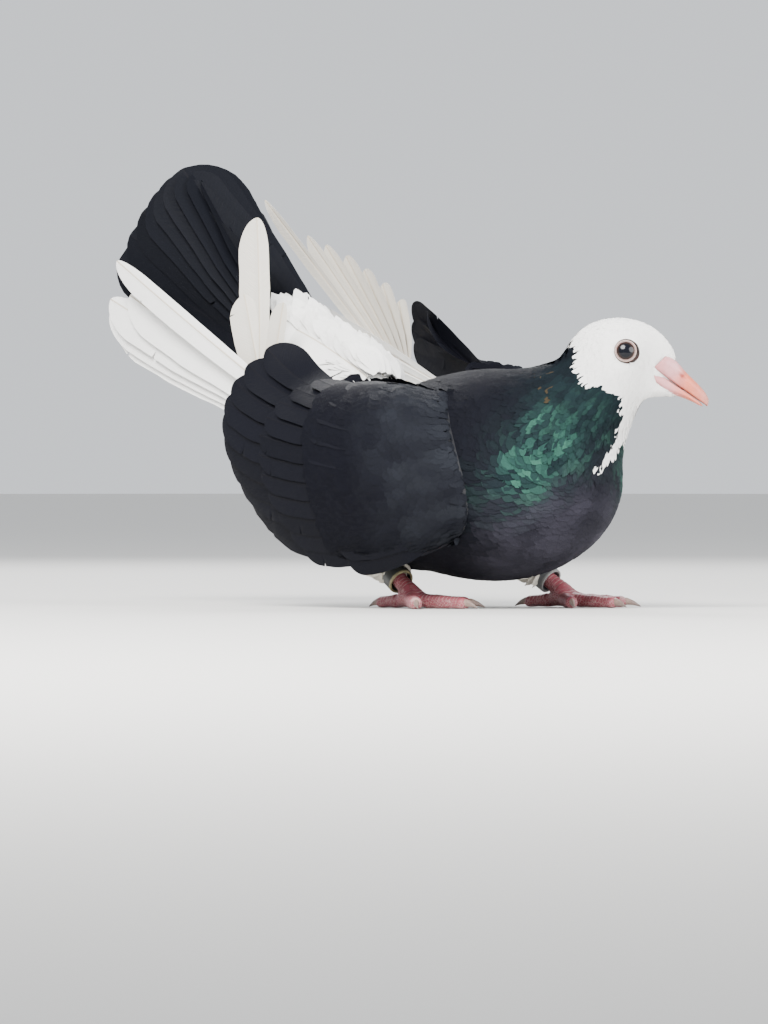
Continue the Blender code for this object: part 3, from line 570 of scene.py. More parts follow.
def plumage_material(name, slant, pitch, shaft, shaft_colour, roughness, depth, contrast, **sockets):
    """Feather vanes in the colours stored on them, with barbs, a shaft and a gleam. The barbs show less
    on pale feathers."""
    material, tree, shader = blank(name, roughness, **sockets)
    barbs = node(tree, "ShaderNodeGroup", node_tree=BARBS)
    barbs.inputs["Slant"].default_value = slant
    barbs.inputs["Pitch"].default_value = pitch * MM
    barbs.inputs["Shaft"].default_value = shaft * MM
    plumage = stored(tree, "plumage", "Color")
    pale = node(tree, "ShaderNodeSeparateXYZ", {0: plumage}).outputs["Y"]
    strength = sum_of(tree, "MULTIPLY_ADD", pale, -0.8 * contrast, contrast)
    shade = sum_of(tree, "SUBTRACT", barbs.outputs["Shade"], 0.5)
    shade = sum_of(tree, "MULTIPLY_ADD", shade, strength, 1.0)
    tint = scaled(tree, plumage, shade)
    mixed = mix_colours(tree, barbs.outputs["On Shaft"], tint, (*shaft_colour, 1.0))
    tree.links.new(mixed, shader.inputs["Base Color"])
    tree.links.new(stored(tree, "gleam"), shader.inputs["Metallic"])
    rough = sum_of(tree, "MULTIPLY_ADD", barbs.outputs["Shade"], 0.3, roughness - 0.15, clamp=True)
    tree.links.new(rough, shader.inputs["Roughness"])
    bumped(tree, shader, barbs.outputs["Height"], depth * MM)
    return material


def scattered(points, faces, spacing, tries=7):
    """Places spread over a mesh of quads so that none is nearer to another than its spacing."""
    corners = points[np.concatenate((faces[:, :3], faces[:, [0, 2, 3]]))]
    area = np.linalg.norm(np.cross(corners[:, 1] - corners[:, 0], corners[:, 2] - corners[:, 0]), axis=1) / 2
    weight = area / spacing(corners.mean(1)) ** 2
    chosen = rng.choice(len(corners), int(weight.sum() * tries), p=weight / weight.sum())
    a, b = rng.random((2, len(chosen), 1))
    a, b = np.where(a + b > 1, 1 - a, a), np.where(a + b > 1, 1 - b, b)
    first, second, third = corners[chosen].transpose(1, 0, 2)
    places = first + a * (second - first) + b * (third - first)
    reaches = spacing(places)
    tree = KDTree(len(places))
    for i, place in enumerate(places):
        tree.insert(place, i)
    tree.balance()
    taken = np.zeros(len(places), bool)
    kept = []
    for i, (place, reach) in enumerate(zip(places, reaches)):
        if not taken[i]:
            kept.append(i)
            taken[[found[1] for found in tree.find_range(place, reach)]] = True
    return places[kept]


EYE_AHEAD, EYE_OUT, EYE_UP = 0.9, 6.7, 2.0
EYES = {side: in_head(EYE_AHEAD, EYE_OUT * side, EYE_UP) for side in SIDES.values()}
LIDS = {side: in_head(EYE_AHEAD, (EYE_OUT + 3.6) * side, EYE_UP) for side in SIDES.values()}
ORBIT = 3.3


def lie_of(points, out):
    """The way the coat lies: back from the bill over the head, parted by the eyes, down the neck and back
    along the trunk."""
    from_bill = unit(points - BILL_BASE)
    on_head = np.clip((27 - np.linalg.norm(points - HEAD, axis=1)) / 9, 0, 1)[:, None]
    steep = np.interp(points[:, 2], (20, 40, 60, 80), (0.15, 0.7, 0.75, 0.6))
    back = unit(np.stack((-np.ones(len(points)), np.zeros(len(points)), -steep), 1))
    flow = back + (from_bill - back) * on_head
    for lid in LIDS.values():
        away = points - lid
        near = np.linalg.norm(away, axis=1, keepdims=True)
        flow += away / near * np.clip((9 - near) / 5, 0, 1) * 1.1
    return unit(flow - out * (flow * out).sum(1, keepdims=True))


def from_bill(points, *sizes):
    """A size that grows from the face to the trunk."""
    return np.interp(np.linalg.norm(points - BILL_BASE, axis=1), (3, 12, 24, 42, 75), sizes)


def behind_wing(points, out):
    """True where a wing covers the body."""
    covered = np.zeros(len(points), bool)
    for name in ("wing_right", "wing_left"):
        solid = frame["nodes"][name].data
        shape = BVHTree.FromPolygons([v.co for v in solid.vertices], [p.vertices for p in solid.polygons])
        for i, (point, way) in enumerate(zip((points - FOOTPRINT) * MM, out)):
            covered[i] |= shape.ray_cast(Vector(point), Vector(way), 14 * MM)[0] is not None
    return covered


COAT_SPACING = (0.48, 0.56, 0.76, 1.0, 1.5)
COAT_LENGTH = (1.8, 3.0, 5.4, 9.5, 13.5)
TUFT_LENGTH = 8.0
FACE_REACH, HACKLE_REACH, WHITE_HEAD_REACH = 19, 38, 40
FINE_WIDTH, HACKLE_WIDTH, BROAD_WIDTH = 0.42, 0.32, 0.62
FINE_STRAY, HACKLE_STRAY, BROAD_STRAY, TUFT_STRAY = 0.07, 0.10, 0.06, 0.25
roots = scattered(skin_points, skin_faces, lambda p: from_bill(p, *COAT_SPACING))
out = unit(slope_of(skin_field, roots))
near_eye = np.min([np.linalg.norm(roots - lid, axis=1) for lid in LIDS.values()], axis=0)
in_bill = np.linalg.norm((roots - BILL_BASE) / (5.0, 5.0, 3.8), axis=1) < 1
kept = (near_eye > ORBIT) & ~in_bill & ~behind_wing(roots, out)
roots, out, near_eye = roots[kept], out[kept], near_eye[kept]
from_head = np.linalg.norm(roots - HEAD, axis=1)
downy = whiteness(roots) & (from_head > WHITE_HEAD_REACH)
fine = from_head < FACE_REACH
hackled = ~fine & ~downy & (from_head < HACKLE_REACH)
broad = ~fine & ~downy & ~hackled
lie = lie_of(roots, out)
length = from_bill(roots, *COAT_LENGTH) * rng.uniform(0.85, 1.15, len(roots))
length = np.where(downy, TUFT_LENGTH, length)
tips = roots + lie * length[:, None]
tip_to_eye = np.min([np.linalg.norm(tips - lid, axis=1) for lid in LIDS.values()], axis=0)
length = np.where(tip_to_eye < ORBIT, np.maximum(near_eye - ORBIT, 0.8), length)
width = length * np.select((fine, broad), (FINE_WIDTH, BROAD_WIDTH), HACKLE_WIDTH)
stray = np.select((fine, hackled, downy), (FINE_STRAY, HACKLE_STRAY, TUFT_STRAY), BROAD_STRAY)[:, None]
lie = unit(lie + np.cross(out, lie) * rng.normal(0, 1, (len(roots), 1)) * stray)
tips = roots + lie * length[:, None]
colour, gleam = plumage(roots + lie * length[:, None] * 0.7, rng.random(len(roots)))
axis = np.interp(roots[:, 0], (-60, 0, 56, 80, 95), (72, 46, 58, 80, 76))
turn = np.arctan2(roots[:, 1] - np.interp(roots[:, 0], (0, 56, 80, 95), (0, 2, 10, 24)), roots[:, 2] - axis)
unwrap = np.stack((roots[:, 0] + (roots[:, 2] - 60) * 0.3, turn), 1)
settings = dict(
    lie=lie,
    out=out,
    size=np.stack((width, length, width), 1),
    place=unwrap,
    colour=colour,
    gleam=gleam,
    droop=flesh(tips) - flesh(roots) - 0.1,
    lift=coat_depth(roots) * np.where(fine, 0.4, 0.7),
)
FINE = frayed("fine", (0.3, 0.9, 1.0, 0.75, 0.4), (0.94, 1.0, 0.94), 0.12)
HACKLE = frayed("hackle", (0.3, 0.8, 1.0, 0.9, 0.7), (0.9, 0.97, 1.0, 0.97, 0.9), 0.16)
BROAD = frayed("broad", (0.24, 0.72, 0.98, 0.95, 0.66), (0.86, 0.94, 0.98, 1.0, 0.98, 0.94, 0.86), 0.05)
COAT = plumage_material("coat", 1.6, 0.3, 0.01, (0.01, 0.01, 0.01), 0.7, 0.05, 0.7, Specular_IOR_Level=0.06)
MOST_TRIANGLES = 190000
for name, part, forms in (
    ("coat_head", fine, FINE),
    ("coat_neck", hackled, HACKLE),
    ("coat_tufts", downy, HACKLE),
    ("coat_breast", broad & (roots[:, 0] > 40), BROAD),
    ("coat_back", broad & (roots[:, 0] <= 40) & (roots[:, 2] > 45), BROAD),
    ("coat_belly", broad & (roots[:, 0] <= 40) & (roots[:, 2] <= 45), BROAD),
):
    chosen = np.flatnonzero(part)
    chosen = chosen[np.argsort(roots[chosen, 1])]
    pieces = math.ceil(len(chosen) * len(forms.objects[0].data.polygons) * 2 / MOST_TRIANGLES)
    for number, some in enumerate(np.array_split(chosen, pieces)):
        values = {key: value[some] for key, value in settings.items()}
        piece = grow(f"{name}_{number + 1}", roots[some], forms, COAT, **values)


# Eyes: dark brown, bulging a little out of bare flesh-coloured rings of skin with tiny warts.
EYE_RADIUS = 5.0
EYE_SIDES, EYE_ROWS = 48, 39
PUPIL, IRIS = 2.2, 2.9
LID_RING, LID_WIDE, LID_HIGH = 3.15, 0.5, 0.4
LID_SIDES, LID_SEAT = 56, 3.8


def ring_of(middle, axis, ahead, profile, sides):
    """Closed band round an axis from a closed profile of how far out from it and how far along it."""
    axis, ahead = unit(axis), unit(ahead)
    third = np.cross(axis, ahead)
    angles = np.arange(sides) * math.tau / sides
    spokes = np.cos(angles)[:, None] * ahead + np.sin(angles)[:, None] * third
    profile = np.asarray(profile, float)
    points = middle + profile[None, :, :1] * spokes[:, None, :] + profile[None, :, 1:] * axis
    count = len(profile)
    faces = []
    for k in range(sides):
        for i in range(count):
            j, m = (i + 1) % count, (k + 1) % sides
            faces.append((k * count + i, k * count + j, m * count + j, m * count + i))
    return points.reshape(-1, 3), faces


def eye_material():
    material, tree, shader = blank("eye", 0.1, IOR=1.34)
    ramp = node(tree, "ShaderNodeValToRGB", {0: stored(tree, "off_axis")})
    stops = ramp.color_ramp
    stops.elements[0].position, stops.elements[0].color = PUPIL / EYE_RADIUS - 0.02, (0.002, 0.0025, 0.005, 1)
    stops.elements[1].position, stops.elements[1].color = IRIS / EYE_RADIUS, (0.020, 0.011, 0.009, 1)
    iris = stops.elements.new(PUPIL / EYE_RADIUS + 0.02)
    iris.color = (0.012, 0.007, 0.006, 1)
    tint = scaled(tree, ramp.outputs["Color"], sum_of(tree, "ADD", noise(tree, 2500.0), 0.5))
    tree.links.new(tint, shader.inputs["Base Color"])
    return material


def lid_material():
    material, tree, shader = blank("eye_skin", 0.55, Subsurface_Weight=0.15, Subsurface_Scale=0.001)
    place = node(tree, "ShaderNodeTexCoord").outputs["Object"]
    warts = node(tree, "ShaderNodeTexVoronoi", {"Vector": place, "Scale": 2600.0})
    near = sum_of(tree, "MULTIPLY", warts.outputs["Distance"], 1.4, clamp=True)
    colour = mix_colours(tree, near, (0.56, 0.44, 0.40, 1), (0.34, 0.24, 0.21, 1))
    colour = mix_colours(tree, stored(tree, "inner"), colour, (0.13, 0.07, 0.06, 1))
    tree.links.new(colour, shader.inputs["Base Color"])
    bumped(tree, shader, sum_of(tree, "SUBTRACT", 1.0, near), 0.00025)
    return material


EYE_FINISH, LID_FINISH = eye_material(), lid_material()
for name, side in SIDES.items():
    out = unit(turned(HEAD_YAW, 0)[1] * side + np.array((0, 0, 0.12)))
    ahead = unit(np.cross(out, (0, 0, 1)))
    above = np.cross(ahead, out)
    turns = np.linspace(0, math.pi, EYE_ROWS + 2)[1:-1]
    arc = np.stack((np.sin(turns), np.cos(turns)), 1) * EYE_RADIUS
    angles = np.arange(EYE_SIDES) * math.tau / EYE_SIDES
    spokes = np.cos(angles)[:, None] * ahead + np.sin(angles)[:, None] * above
    points = EYES[side] + arc[:, None, :1] * spokes + arc[:, None, 1:] * out
    poles = [EYES[side] + out * EYE_RADIUS, EYES[side] - out * EYE_RADIUS]
    points = np.concatenate((points.reshape(-1, 3), poles))
    faces = []
    for start in range(0, (EYE_ROWS - 1) * EYE_SIDES, EYE_SIDES):
        for i in range(EYE_SIDES):
            j = (i + 1) % EYE_SIDES
            faces.append((start + i, start + EYE_SIDES + i, start + EYE_SIDES + j, start + j))
    last = (EYE_ROWS - 1) * EYE_SIDES
    faces += [(len(points) - 2, i, (i + 1) % EYE_SIDES) for i in range(EYE_SIDES)]
    faces += [(len(points) - 1, last + (i + 1) % EYE_SIDES, last + i) for i in range(EYE_SIDES)]
    offset = points - EYES[side]
    off_axis = np.linalg.norm(np.cross(offset, out), axis=1) / EYE_RADIUS + (offset @ out < 0)
    eye = make(f"eyeball_{name}", points, faces, EYE_FINISH, off_axis=off_axis)
    turns = np.arange(12) * math.tau / 12
    profile = np.stack((LID_RING + LID_WIDE * np.cos(turns), LID_HIGH * np.sin(turns)), 1)
    seat = EYES[side] + out * LID_SEAT
    points, faces = ring_of(seat, out, ahead, profile, LID_SIDES)
    reach = np.linalg.norm(np.cross(points - seat, out), axis=1)
    inner = np.clip((LID_RING + 0.25 - reach) / 0.5, 0, 1)
    lid = make(f"eye_ring_{name}", points, faces, LID_FINISH, inner=inner)
    for piece in (eye, lid):
        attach(piece, "root")
    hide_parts(f"eye_{name}")


# Bill: two halves of horn, flesh pink with a warmer middle and a pale tip, the upper one hooked a little
# over the lower and swollen at its base into the soft cere over two slit nostrils. Painted shade darkens
# the nostril slits and the mouth line.
UPPER_BILL = (
    (14.5, 1.2, 9.8, -3.3, 5.6),
    (17.4, -0.6, 13.0, -5.1, 4.9),
    (20.8, -4.2, 17.0, -7.9, 4.1),
    (24.4, -7.7, 21.0, -10.7, 3.3),
    (26.9, -10.5, 24.6, -13.2, 2.4),
    (28.3, -13.0, 27.0, -14.8, 1.4),
    (28.2, -14.9, 27.7, -15.4, 0.6),
)
LOWER_BILL = (
    (9.6, -3.55, 11.5, -8.8, 4.8),
    (12.9, -5.35, 15.4, -11.2, 3.6),
    (16.9, -8.1, 18.8, -12.3, 3.2),
    (20.9, -10.85, 22.0, -13.5, 2.8),
    (24.6, -13.4, 25.0, -15.0, 1.9),
    (26.1, -14.65, 26.3, -15.5, 0.8),
)
MOUTH_LINE = np.array([(ahead, 0, low) for _, _, ahead, low, _ in UPPER_BILL])
MEETING_EDGE = 0.4
CERE_AHEAD, CERE_OUT, CERE_UP = 17.2, 2.3, -2.4
CERE_HALF, CERE_SWELL = (3.4, 2.2, 1.7), 0.85
CERE_COLOUR = np.array((0.56, 0.33, 0.36))
NOSTRIL_AHEAD, NOSTRIL_OUT, NOSTRIL_UP = 19.6, 3.4, -5.6
NOSTRIL_HALF, NOSTRIL_DEPTH = (1.7, 2.0, 0.45), 0.8


def curve_through(points, count):
    """More points on a smooth curve through the given ones."""
    points = np.asarray(points, float)
    padded = np.concatenate((2 * points[:1] - points[1:2], points, 2 * points[-1:] - points[-2:-1]))
    steps = np.linspace(0, len(points) - 1, count)
    start = np.minimum(steps.astype(int), len(points) - 2)
    t = (steps - start)[:, None]
    a, b, c, d = (padded[start + i] for i in range(4))
    return b + 0.5 * t * (c - a + t * (2 * a - 5 * b + 4 * c - d + t * (3 * (b - c) + d - a)))


def tube(rings):
    """Closed skin through rings of the same number of points."""
    rings = np.asarray(rings, float)
    count, sides = rings.shape[:2]
    faces = [tuple(range(sides)), tuple((count - 1) * sides + i for i in reversed(range(sides)))]
    for k in range(count - 1):
        for i in range(sides):
            j = (i + 1) % sides
            faces.append((k * sides + i, k * sides + j, (k + 1) * sides + j, (k + 1) * sides + i))
    return rings.reshape(-1, 3), faces


def bill_half(stations, meets, rows=80, sides=80):
    """Rings through the ridge and the lower edge of one half of the bill, squarer above (meets is 1) or
    below (-1), where it meets the other half, and closed to a blunt tip."""
    left = turned(HEAD_YAW, 0)[1]
    table = curve_through(stations, rows)
    angles = np.arange(sides) * math.tau / sides
    rings = []
    for ahead, high, ahead_below, low, half in table:
        top, bottom = in_head(ahead, 0, high), in_head(ahead_below, 0, low)
        middle, reach = (top + bottom) / 2, (top - bottom) / 2
        over, across = np.cos(angles), np.sin(angles)
        square = np.where(over * meets > 0, MEETING_EDGE, 0.9)
        over, across = np.sign(over) * np.abs(over) ** square, np.sign(across) * np.abs(across) ** square
        rings.append(middle + over[:, None] * reach + across[:, None] * left * half)
    tip = rings[-1].mean(0)
    for share in (0.75, 0.4, 0.1):
        ahead = unit(tip - rings[-2].mean(0)) * 0.45 * (1 - share)
        rings.append(tip + (rings[rows - 1] - tip) * share + ahead)
    return tube(rings)


def swollen(points, centre, reaches, turn, by):
    """Points pushed away from the bill's midline near a place, or towards it where by is below zero."""
    local = (points - centre) @ turn.T / np.asarray(reaches, float)
    push = by * np.exp(-(local**2).sum(1))[:, None]
    left = turned(HEAD_YAW, 0)[1]
    side = np.sign((centre - HEAD) @ left)
    return points + unit(left * side + np.array((0.35, 0.35, 0.9)) * 0.6) * push


def bill_material():
    material, tree, shader = blank(
        "bill", 0.42, Subsurface_Weight=0.25, Subsurface_Scale=0.0015, Subsurface_Radius=(1.0, 0.4, 0.3)
    )
    grain = noise(tree, 700.0, 5.0)
    shade = sum_of(tree, "MULTIPLY_ADD", grain, 0.35, 0.82)
    tree.links.new(scaled(tree, stored(tree, "horn", "Color"), shade), shader.inputs["Base Color"])
    tree.links.new(sum_of(tree, "MULTIPLY_ADD", grain, 0.3, 0.27), shader.inputs["Roughness"])
    bumped(tree, shader, noise(tree, 3200.0, 3.0), 0.00012)
    return material


def limb_distance(points, course, radii):
    """How far points lie outside a limb of round sections, and how far along it they lie."""
    best = np.full(len(points), 1e3)
    along = np.zeros(len(points))
    start = 0.0
    for a, b, first, last in zip(course, course[1:], radii, radii[1:]):
        length = np.linalg.norm(b - a)
        t = np.clip((points - a) @ (b - a) / length**2, 0, 1)
        distance = np.linalg.norm(points - a - t[:, None] * (b - a), axis=1) - first - t * (last - first)
        nearer = distance < best
        best[nearer], along[nearer] = distance[nearer], start + t[nearer] * length
        start += length
    return best, along


def horn_colours(points):
    """Pink at the base, warm in the middle, pale at the tip, lilac over the cere, with painted shade in the
    nostril slits and along the mouth line.
    """
    forward, left, above = turned(HEAD_YAW, 0)
    reach = (points - HEAD) @ forward
    stops = (9, 15, 18.5, 21.5, 25, 28, 30)
    table = (
        (0.48, 0.20, 0.20),
        (0.55, 0.25, 0.26),
        (0.57, 0.19, 0.16),
        (0.60, 0.15, 0.085),
        (0.57, 0.17, 0.115),
        (0.50, 0.20, 0.16),
        (0.42, 0.24, 0.20),
    )
    colour = np.stack([np.interp(reach, stops, column) for column in np.array(table).T], 1)
    for side in SIDES.values():
        near = np.linalg.norm(points - in_head(CERE_AHEAD, CERE_OUT * side * 1.4, CERE_UP), axis=1)
        cere = np.clip(1 - near / 4.2, 0, 1)[:, None]
        colour = colour + (CERE_COLOUR - colour) * cere
        # Painted shade: the horn is darkened in and around each nostril slit.
        near = np.linalg.norm(points - in_head(NOSTRIL_AHEAD, NOSTRIL_OUT * side, NOSTRIL_UP), axis=1)
        colour = colour * (1 - np.array((0.45, 0.75, 0.8)) * np.exp(-((near / 0.9) ** 2))[:, None])
    # Painted shade: a dark line along the mouth where the two halves meet.
    flat = np.stack((reach, reach * 0, (points - HEAD) @ above), 1)
    mouth = limb_distance(flat, MOUTH_LINE, np.zeros(len(MOUTH_LINE)))[0]
    colour = colour * (1 - np.array((0.5, 0.62, 0.66)) * np.exp(-((mouth / 0.3) ** 2))[:, None])
    return opaque(colour)


BILL_FINISH = bill_material()
points, faces = bill_half(UPPER_BILL, -1)
for side in SIDES.values():
    slope = turned(HEAD_YAW, -42)
    cere = in_head(CERE_AHEAD, CERE_OUT * side, CERE_UP)
    nostril = in_head(NOSTRIL_AHEAD, NOSTRIL_OUT * side, NOSTRIL_UP)
    points = swollen(points, cere, CERE_HALF, slope, CERE_SWELL)
    points = swollen(points, nostril, NOSTRIL_HALF, slope, -NOSTRIL_DEPTH)
bill_top = make("bill_top", points, faces, BILL_FINISH, horn=horn_colours(points))
points, faces = bill_half(LOWER_BILL, 1)
bill_under = make("bill_under", points, faces, BILL_FINISH, horn=horn_colours(points))
for piece, solid in ((bill_top, "bill_upper"), (bill_under, "bill_lower")):
    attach(piece, "root")
    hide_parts(solid)


# Wings: black secondaries over the flank with their greater and median coverts in tiers, and small
# coverts up to the bend of the wing. The quills sit in the thin fleshy edge of the folded wing. Towards the
# leading edge the small coverts are painted bluish grey, a painted highlight.
WING_NET = np.array(
    (
        ((44, -34, 19), (54, -39, 34), (49, -40, 55), (35, -26, 75)),
        ((14, -37, 14), (14, -46, 34), (10, -46, 58), (6, -23, 75)),
        ((-12, -40, 18), (-22, -47, 38), (-24, -46, 62), (-16, -23, 76)),
        ((-36, -42, 33), (-49, -43, 52), (-53, -40, 71), (-39, -30, 89)),
    ),
    float,
)
WRIST = np.array((50.0, -38.0, 34.0))
LEFT_WING_LIFT, LEFT_WING_OPEN = 7.5, 3.0
CORE_END, CORE_SINK = 0.60, 3.2
VANE_COLUMNS = np.array((-1, -0.86, -0.6, -0.3, -0.05, 0, 0.05, 0.3, 0.6, 0.86, 1.0))
TIP_START = 0.84
VANE_CAMBER = 0.07


def wing_shield(side):
    """The outer face of one wing as a function of how far back and how far up, with its normals."""
    knots = np.array((0, 1 / 3, 2 / 3, 1))

    def weights(value):
        columns = []
        for i, knot in enumerate(knots):
            others = np.delete(knots, i)
            columns.append(np.prod([(value - other) / (knot - other) for other in others], axis=0))
        return np.stack(columns, -1)

    def place(back, up):
        return posed(np.einsum("ni,nj,ijk->nk", weights(back), weights(up), WING_NET), side)

    def shield(back, up):
        back, up = np.broadcast_arrays(np.asarray(back, float), np.asarray(up, float))
        shape = back.shape
        back, up = back.ravel(), up.ravel()
        point = place(back, up)
        across = np.cross(place(back + 0.01, up) - point, place(back, up + 0.01) - point)
        normal = unit(across) * np.sign(across[:, 1:2]) * side
        return point.reshape(*shape, 3), normal.reshape(*shape, 3)

    return shield


def posed(points, side):
    """Points of the right wing, or mirrored for the left one, which is held a little higher."""
    if side == RIGHT:
        return points
    points = (points - WRIST) * (1, -1, 1)
    lift, opened = math.radians(LEFT_WING_LIFT), math.radians(LEFT_WING_OPEN)
    x, y, z = points.T
    x, z = x * math.cos(lift) + z * math.sin(lift), -x * math.sin(lift) + z * math.cos(lift)
    x, y = x * math.cos(opened) + y * math.sin(opened), -x * math.sin(opened) + y * math.cos(opened)
    return np.stack((x, y, z), 1) + WRIST * (1, -1, 1)


def stations():
    """How far along a feather its cross rows lie, close together at the tip and where its vane splits."""
    splits = rng.uniform(0.35, 0.9, 1)
    rows = [np.linspace(0, TIP_START, 15), TIP_START + (1 - TIP_START) * np.sin(np.linspace(0, 1.5, 8)[1:])]
    rows += [splits - 0.006, splits, splits + 0.006]
    return np.unique(np.concatenate(rows)), splits


def feather(centre, above, facing, width, along, splits, narrow=0.3, lean=0.0, tip=TIP_START):
    """A thin closed vane about its shaft. Its rows lie along centre, its width runs along above."""
    u = along[:, None]
    body = np.interp(u, (0, 0.25, 0.6, tip, 1), (narrow, 0.8, 1.0, 0.97, 0.85))
    half = width / 2 * body * np.sqrt(1 - np.clip((u - tip) / (1 - tip), 0, 0.995) ** 2)
    across = VANE_COLUMNS * half * (1 + lean * np.sign(VANE_COLUMNS))
    wave = 1 + 0.012 * np.sin(u * rng.uniform(15, 40) + rng.uniform(0, 6)) * (np.abs(VANE_COLUMNS) > 0.9)
    for split in splits:
        edge = 1 if rng.random() < 0.6 else -1
        torn = (np.abs(u - split) < 1e-6) & (VANE_COLUMNS * edge > 0.55)
        wave = np.where(torn, wave * rng.uniform(0.7, 0.9), wave)
    across = across * wave
    ridge = 0.32 * (1 - 0.8 * u) * (VANE_COLUMNS == 0)
    height = ridge - VANE_CAMBER * half * VANE_COLUMNS**2
    thick = (0.16 - 0.06 * u) * (1 - 0.5 * np.abs(VANE_COLUMNS))
    sheet = centre[:, None] + above[:, None] * across[..., None]
    top = sheet + facing[:, None] * (height + thick)[..., None]
    bottom = sheet + facing[:, None] * (height * 0.8 - thick)[..., None]
    length = np.concatenate(([0], np.cumsum(np.linalg.norm(np.diff(centre, axis=0), axis=1))))
    length = np.repeat(length[:, None], len(VANE_COLUMNS), 1)
    barb = np.stack((across * MM, length * MM, np.full(across.shape, rng.random())), -1)
    return top, bottom, barb


def straight(root, end, facing, width, bow=0.0, **shape):
    """A feather from its root to its end that faces a direction and bows towards it."""
    along, splits = stations()
    u = along[:, None]
    root, end = np.asarray(root, float), np.asarray(end, float)
    course = unit(end - root)
    above = unit(np.cross(np.asarray(facing, float), course))
    normal = np.cross(course, above)
    centre = root + (end - root) * u + normal * bow * 4 * u * (1 - u)
    rows = np.ones((len(along), 1))
    return feather(centre, above * rows, normal * rows, width, along, splits, **shape)


def laid(shield, start, end, width, lifts, roll, **shape):
    """A feather on the shield from start to end, each as how far back and up, its lower edge tilted
    outwards over the next one."""
    along, splits = stations()
    back = start[0] + (end[0] - start[0]) * along
    up = start[1] + (end[1] - start[1]) * along
    centre, normal = shield(back, up)
    course = unit(np.gradient(centre, axis=0))
    above = shield(back, up + 0.01)[0] - centre
    above = unit(above - course * (above * course).sum(1, keepdims=True))
    centre = centre + normal * np.interp(along, (0, 0.25, 1), lifts)[:, None]
    tilt = roll / (width / 2) * np.interp(along, (0, 0.3), (0.2, 1))[:, None]
    return feather(centre, unit(above - normal * tilt), normal, width, along, splits, **shape)


def slab_faces(rows, columns):
    """Faces of a closed sheet between two grids of points, the second after the first."""
    grid = np.arange(rows * columns).reshape(rows, columns)
    quads = np.stack((grid[:-1, :-1], grid[:-1, 1:], grid[1:, 1:], grid[1:, :-1]), -1).reshape(-1, 4)
    under = quads[:, ::-1] + rows * columns
    rim = np.concatenate((grid[0, :], grid[1:, -1], grid[-1, -2::-1], grid[-2:0:-1, 0]))
    after = np.roll(rim, -1)
    wall = np.stack((after, rim, rim + rows * columns, after + rows * columns), 1)
    return np.concatenate((quads, under, wall))


def vanes(name, feathers, colours, material):
    """One piece of several feathers, each with a strip of the map for its two faces."""
    points, faces, barbs, tints, maps = [], [], [], [], []
    start, count = 0, len(feathers)
    for k, ((top, bottom, barb), colour) in enumerate(zip(feathers, colours)):
        rows, columns = top.shape[:2]
        points += [top.reshape(-1, 3), bottom.reshape(-1, 3)]
        barbs += [barb.reshape(-1, 3)] * 2
        tints.append(np.tile((*colour, 1.0), (rows * columns * 2, 1)))
        u, v = np.meshgrid(VANE_COLUMNS, np.linspace(0, 1, rows))
        strip = np.stack(((k + 0.5 + 0.46 * u) / count, 0.01 + 0.47 * v), -1).reshape(-1, 2)
        maps += [strip, strip + (0, 0.5)]
        faces.append(slab_faces(rows, columns) + start)
        start += rows * columns * 2
    faces = np.concatenate(faces)
    place = np.concatenate(maps)[faces.ravel()]
    obj = make(
        name,
        np.concatenate(points),
        faces,
        material,
        barb=np.concatenate(barbs),
        plumage=np.concatenate(tints),
        gleam=np.zeros(start),
    )
    give(obj.data, "OFBake", place, "CORNER")
    turn_out(obj)
    obj.data.set_sharp_from_angle(angle=1.0)
    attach(obj, "root")
    return obj


def turn_out(obj):
    """Turns the faces of closed shells outwards."""
    shape = bmesh.new()
    shape.from_mesh(obj.data)
    bmesh.ops.recalc_face_normals(shape, faces=shape.faces)
    shape.to_mesh(obj.data)
    shape.free()


def varied(colour, count, by=0.12):
    return np.asarray(colour) * (1 + by * rng.uniform(-1, 1, (count, 1)))


BLACK_VANE = plumage_material(
    "black_vane", 0.9, 0.5, 0.35, (0.005, 0.005, 0.007), 0.65, 0.06, 0.5, Specular_IOR_Level=0.08
)
# Painted highlight: the bluish grey laid on the small coverts towards the wing's leading edge.
WING_PAINTED_HIGHLIGHT = np.array((0.0125, 0.0140, 0.0185))
CORE_ROWS, CORE_COLUMNS = 20, 26
SECONDARIES, COVERTS, MEDIANS = 10, 11, 11
TERTIALS = {
    RIGHT: (),
    LEFT: (
        ((4, 26, 76), (-48, 42, 101)),
        ((2, 28, 75), (-49, 43, 94)),
        ((0, 30, 73), (-49, 44, 87)),
    ),
}
SECONDARY_WIDTH, COVERT_WIDTH, MEDIAN_WIDTH, TERTIAL_WIDTH = 16.5, 13.5, 12.5, 13.0
SMALL_COVERT_END, SMALL_COVERT_STEP, SMALL_COVERT_WIDTH = 0.40, 0.018, 0.66


def edge_of(back, up):
    """1 on the open face of the shield, falling to 0 at its leading, lower and upper edges."""
    edge = 1.0
    for value, reach in ((back, 0.13), (up, 0.2), (1 - up, 0.2)):
        edge = edge * np.sqrt(1 - (1 - np.clip(value / reach, 0, 1)) ** 2)
    return edge


def covert_seat(shield, back, up):
    """Where small coverts sit: on the shield over the median coverts, and round its edges where how far
    back or up is below 0."""
    face, normal = shield(np.maximum(back, 0), np.clip(up, 0, 1))
    inward = np.maximum(-back, 0) + np.maximum(-up, 0) + np.maximum(up - 1, 0)
    rise = np.interp(back, (0, 0.1, 0.2, 0.3), (-0.6, -0.2, 1.6, 2.2))
    sunk = 5 * (1 - edge_of(np.maximum(back, 0), np.clip(up, 0, 1)))
    return face + normal * (rise - sunk - 100 * inward)[..., None]


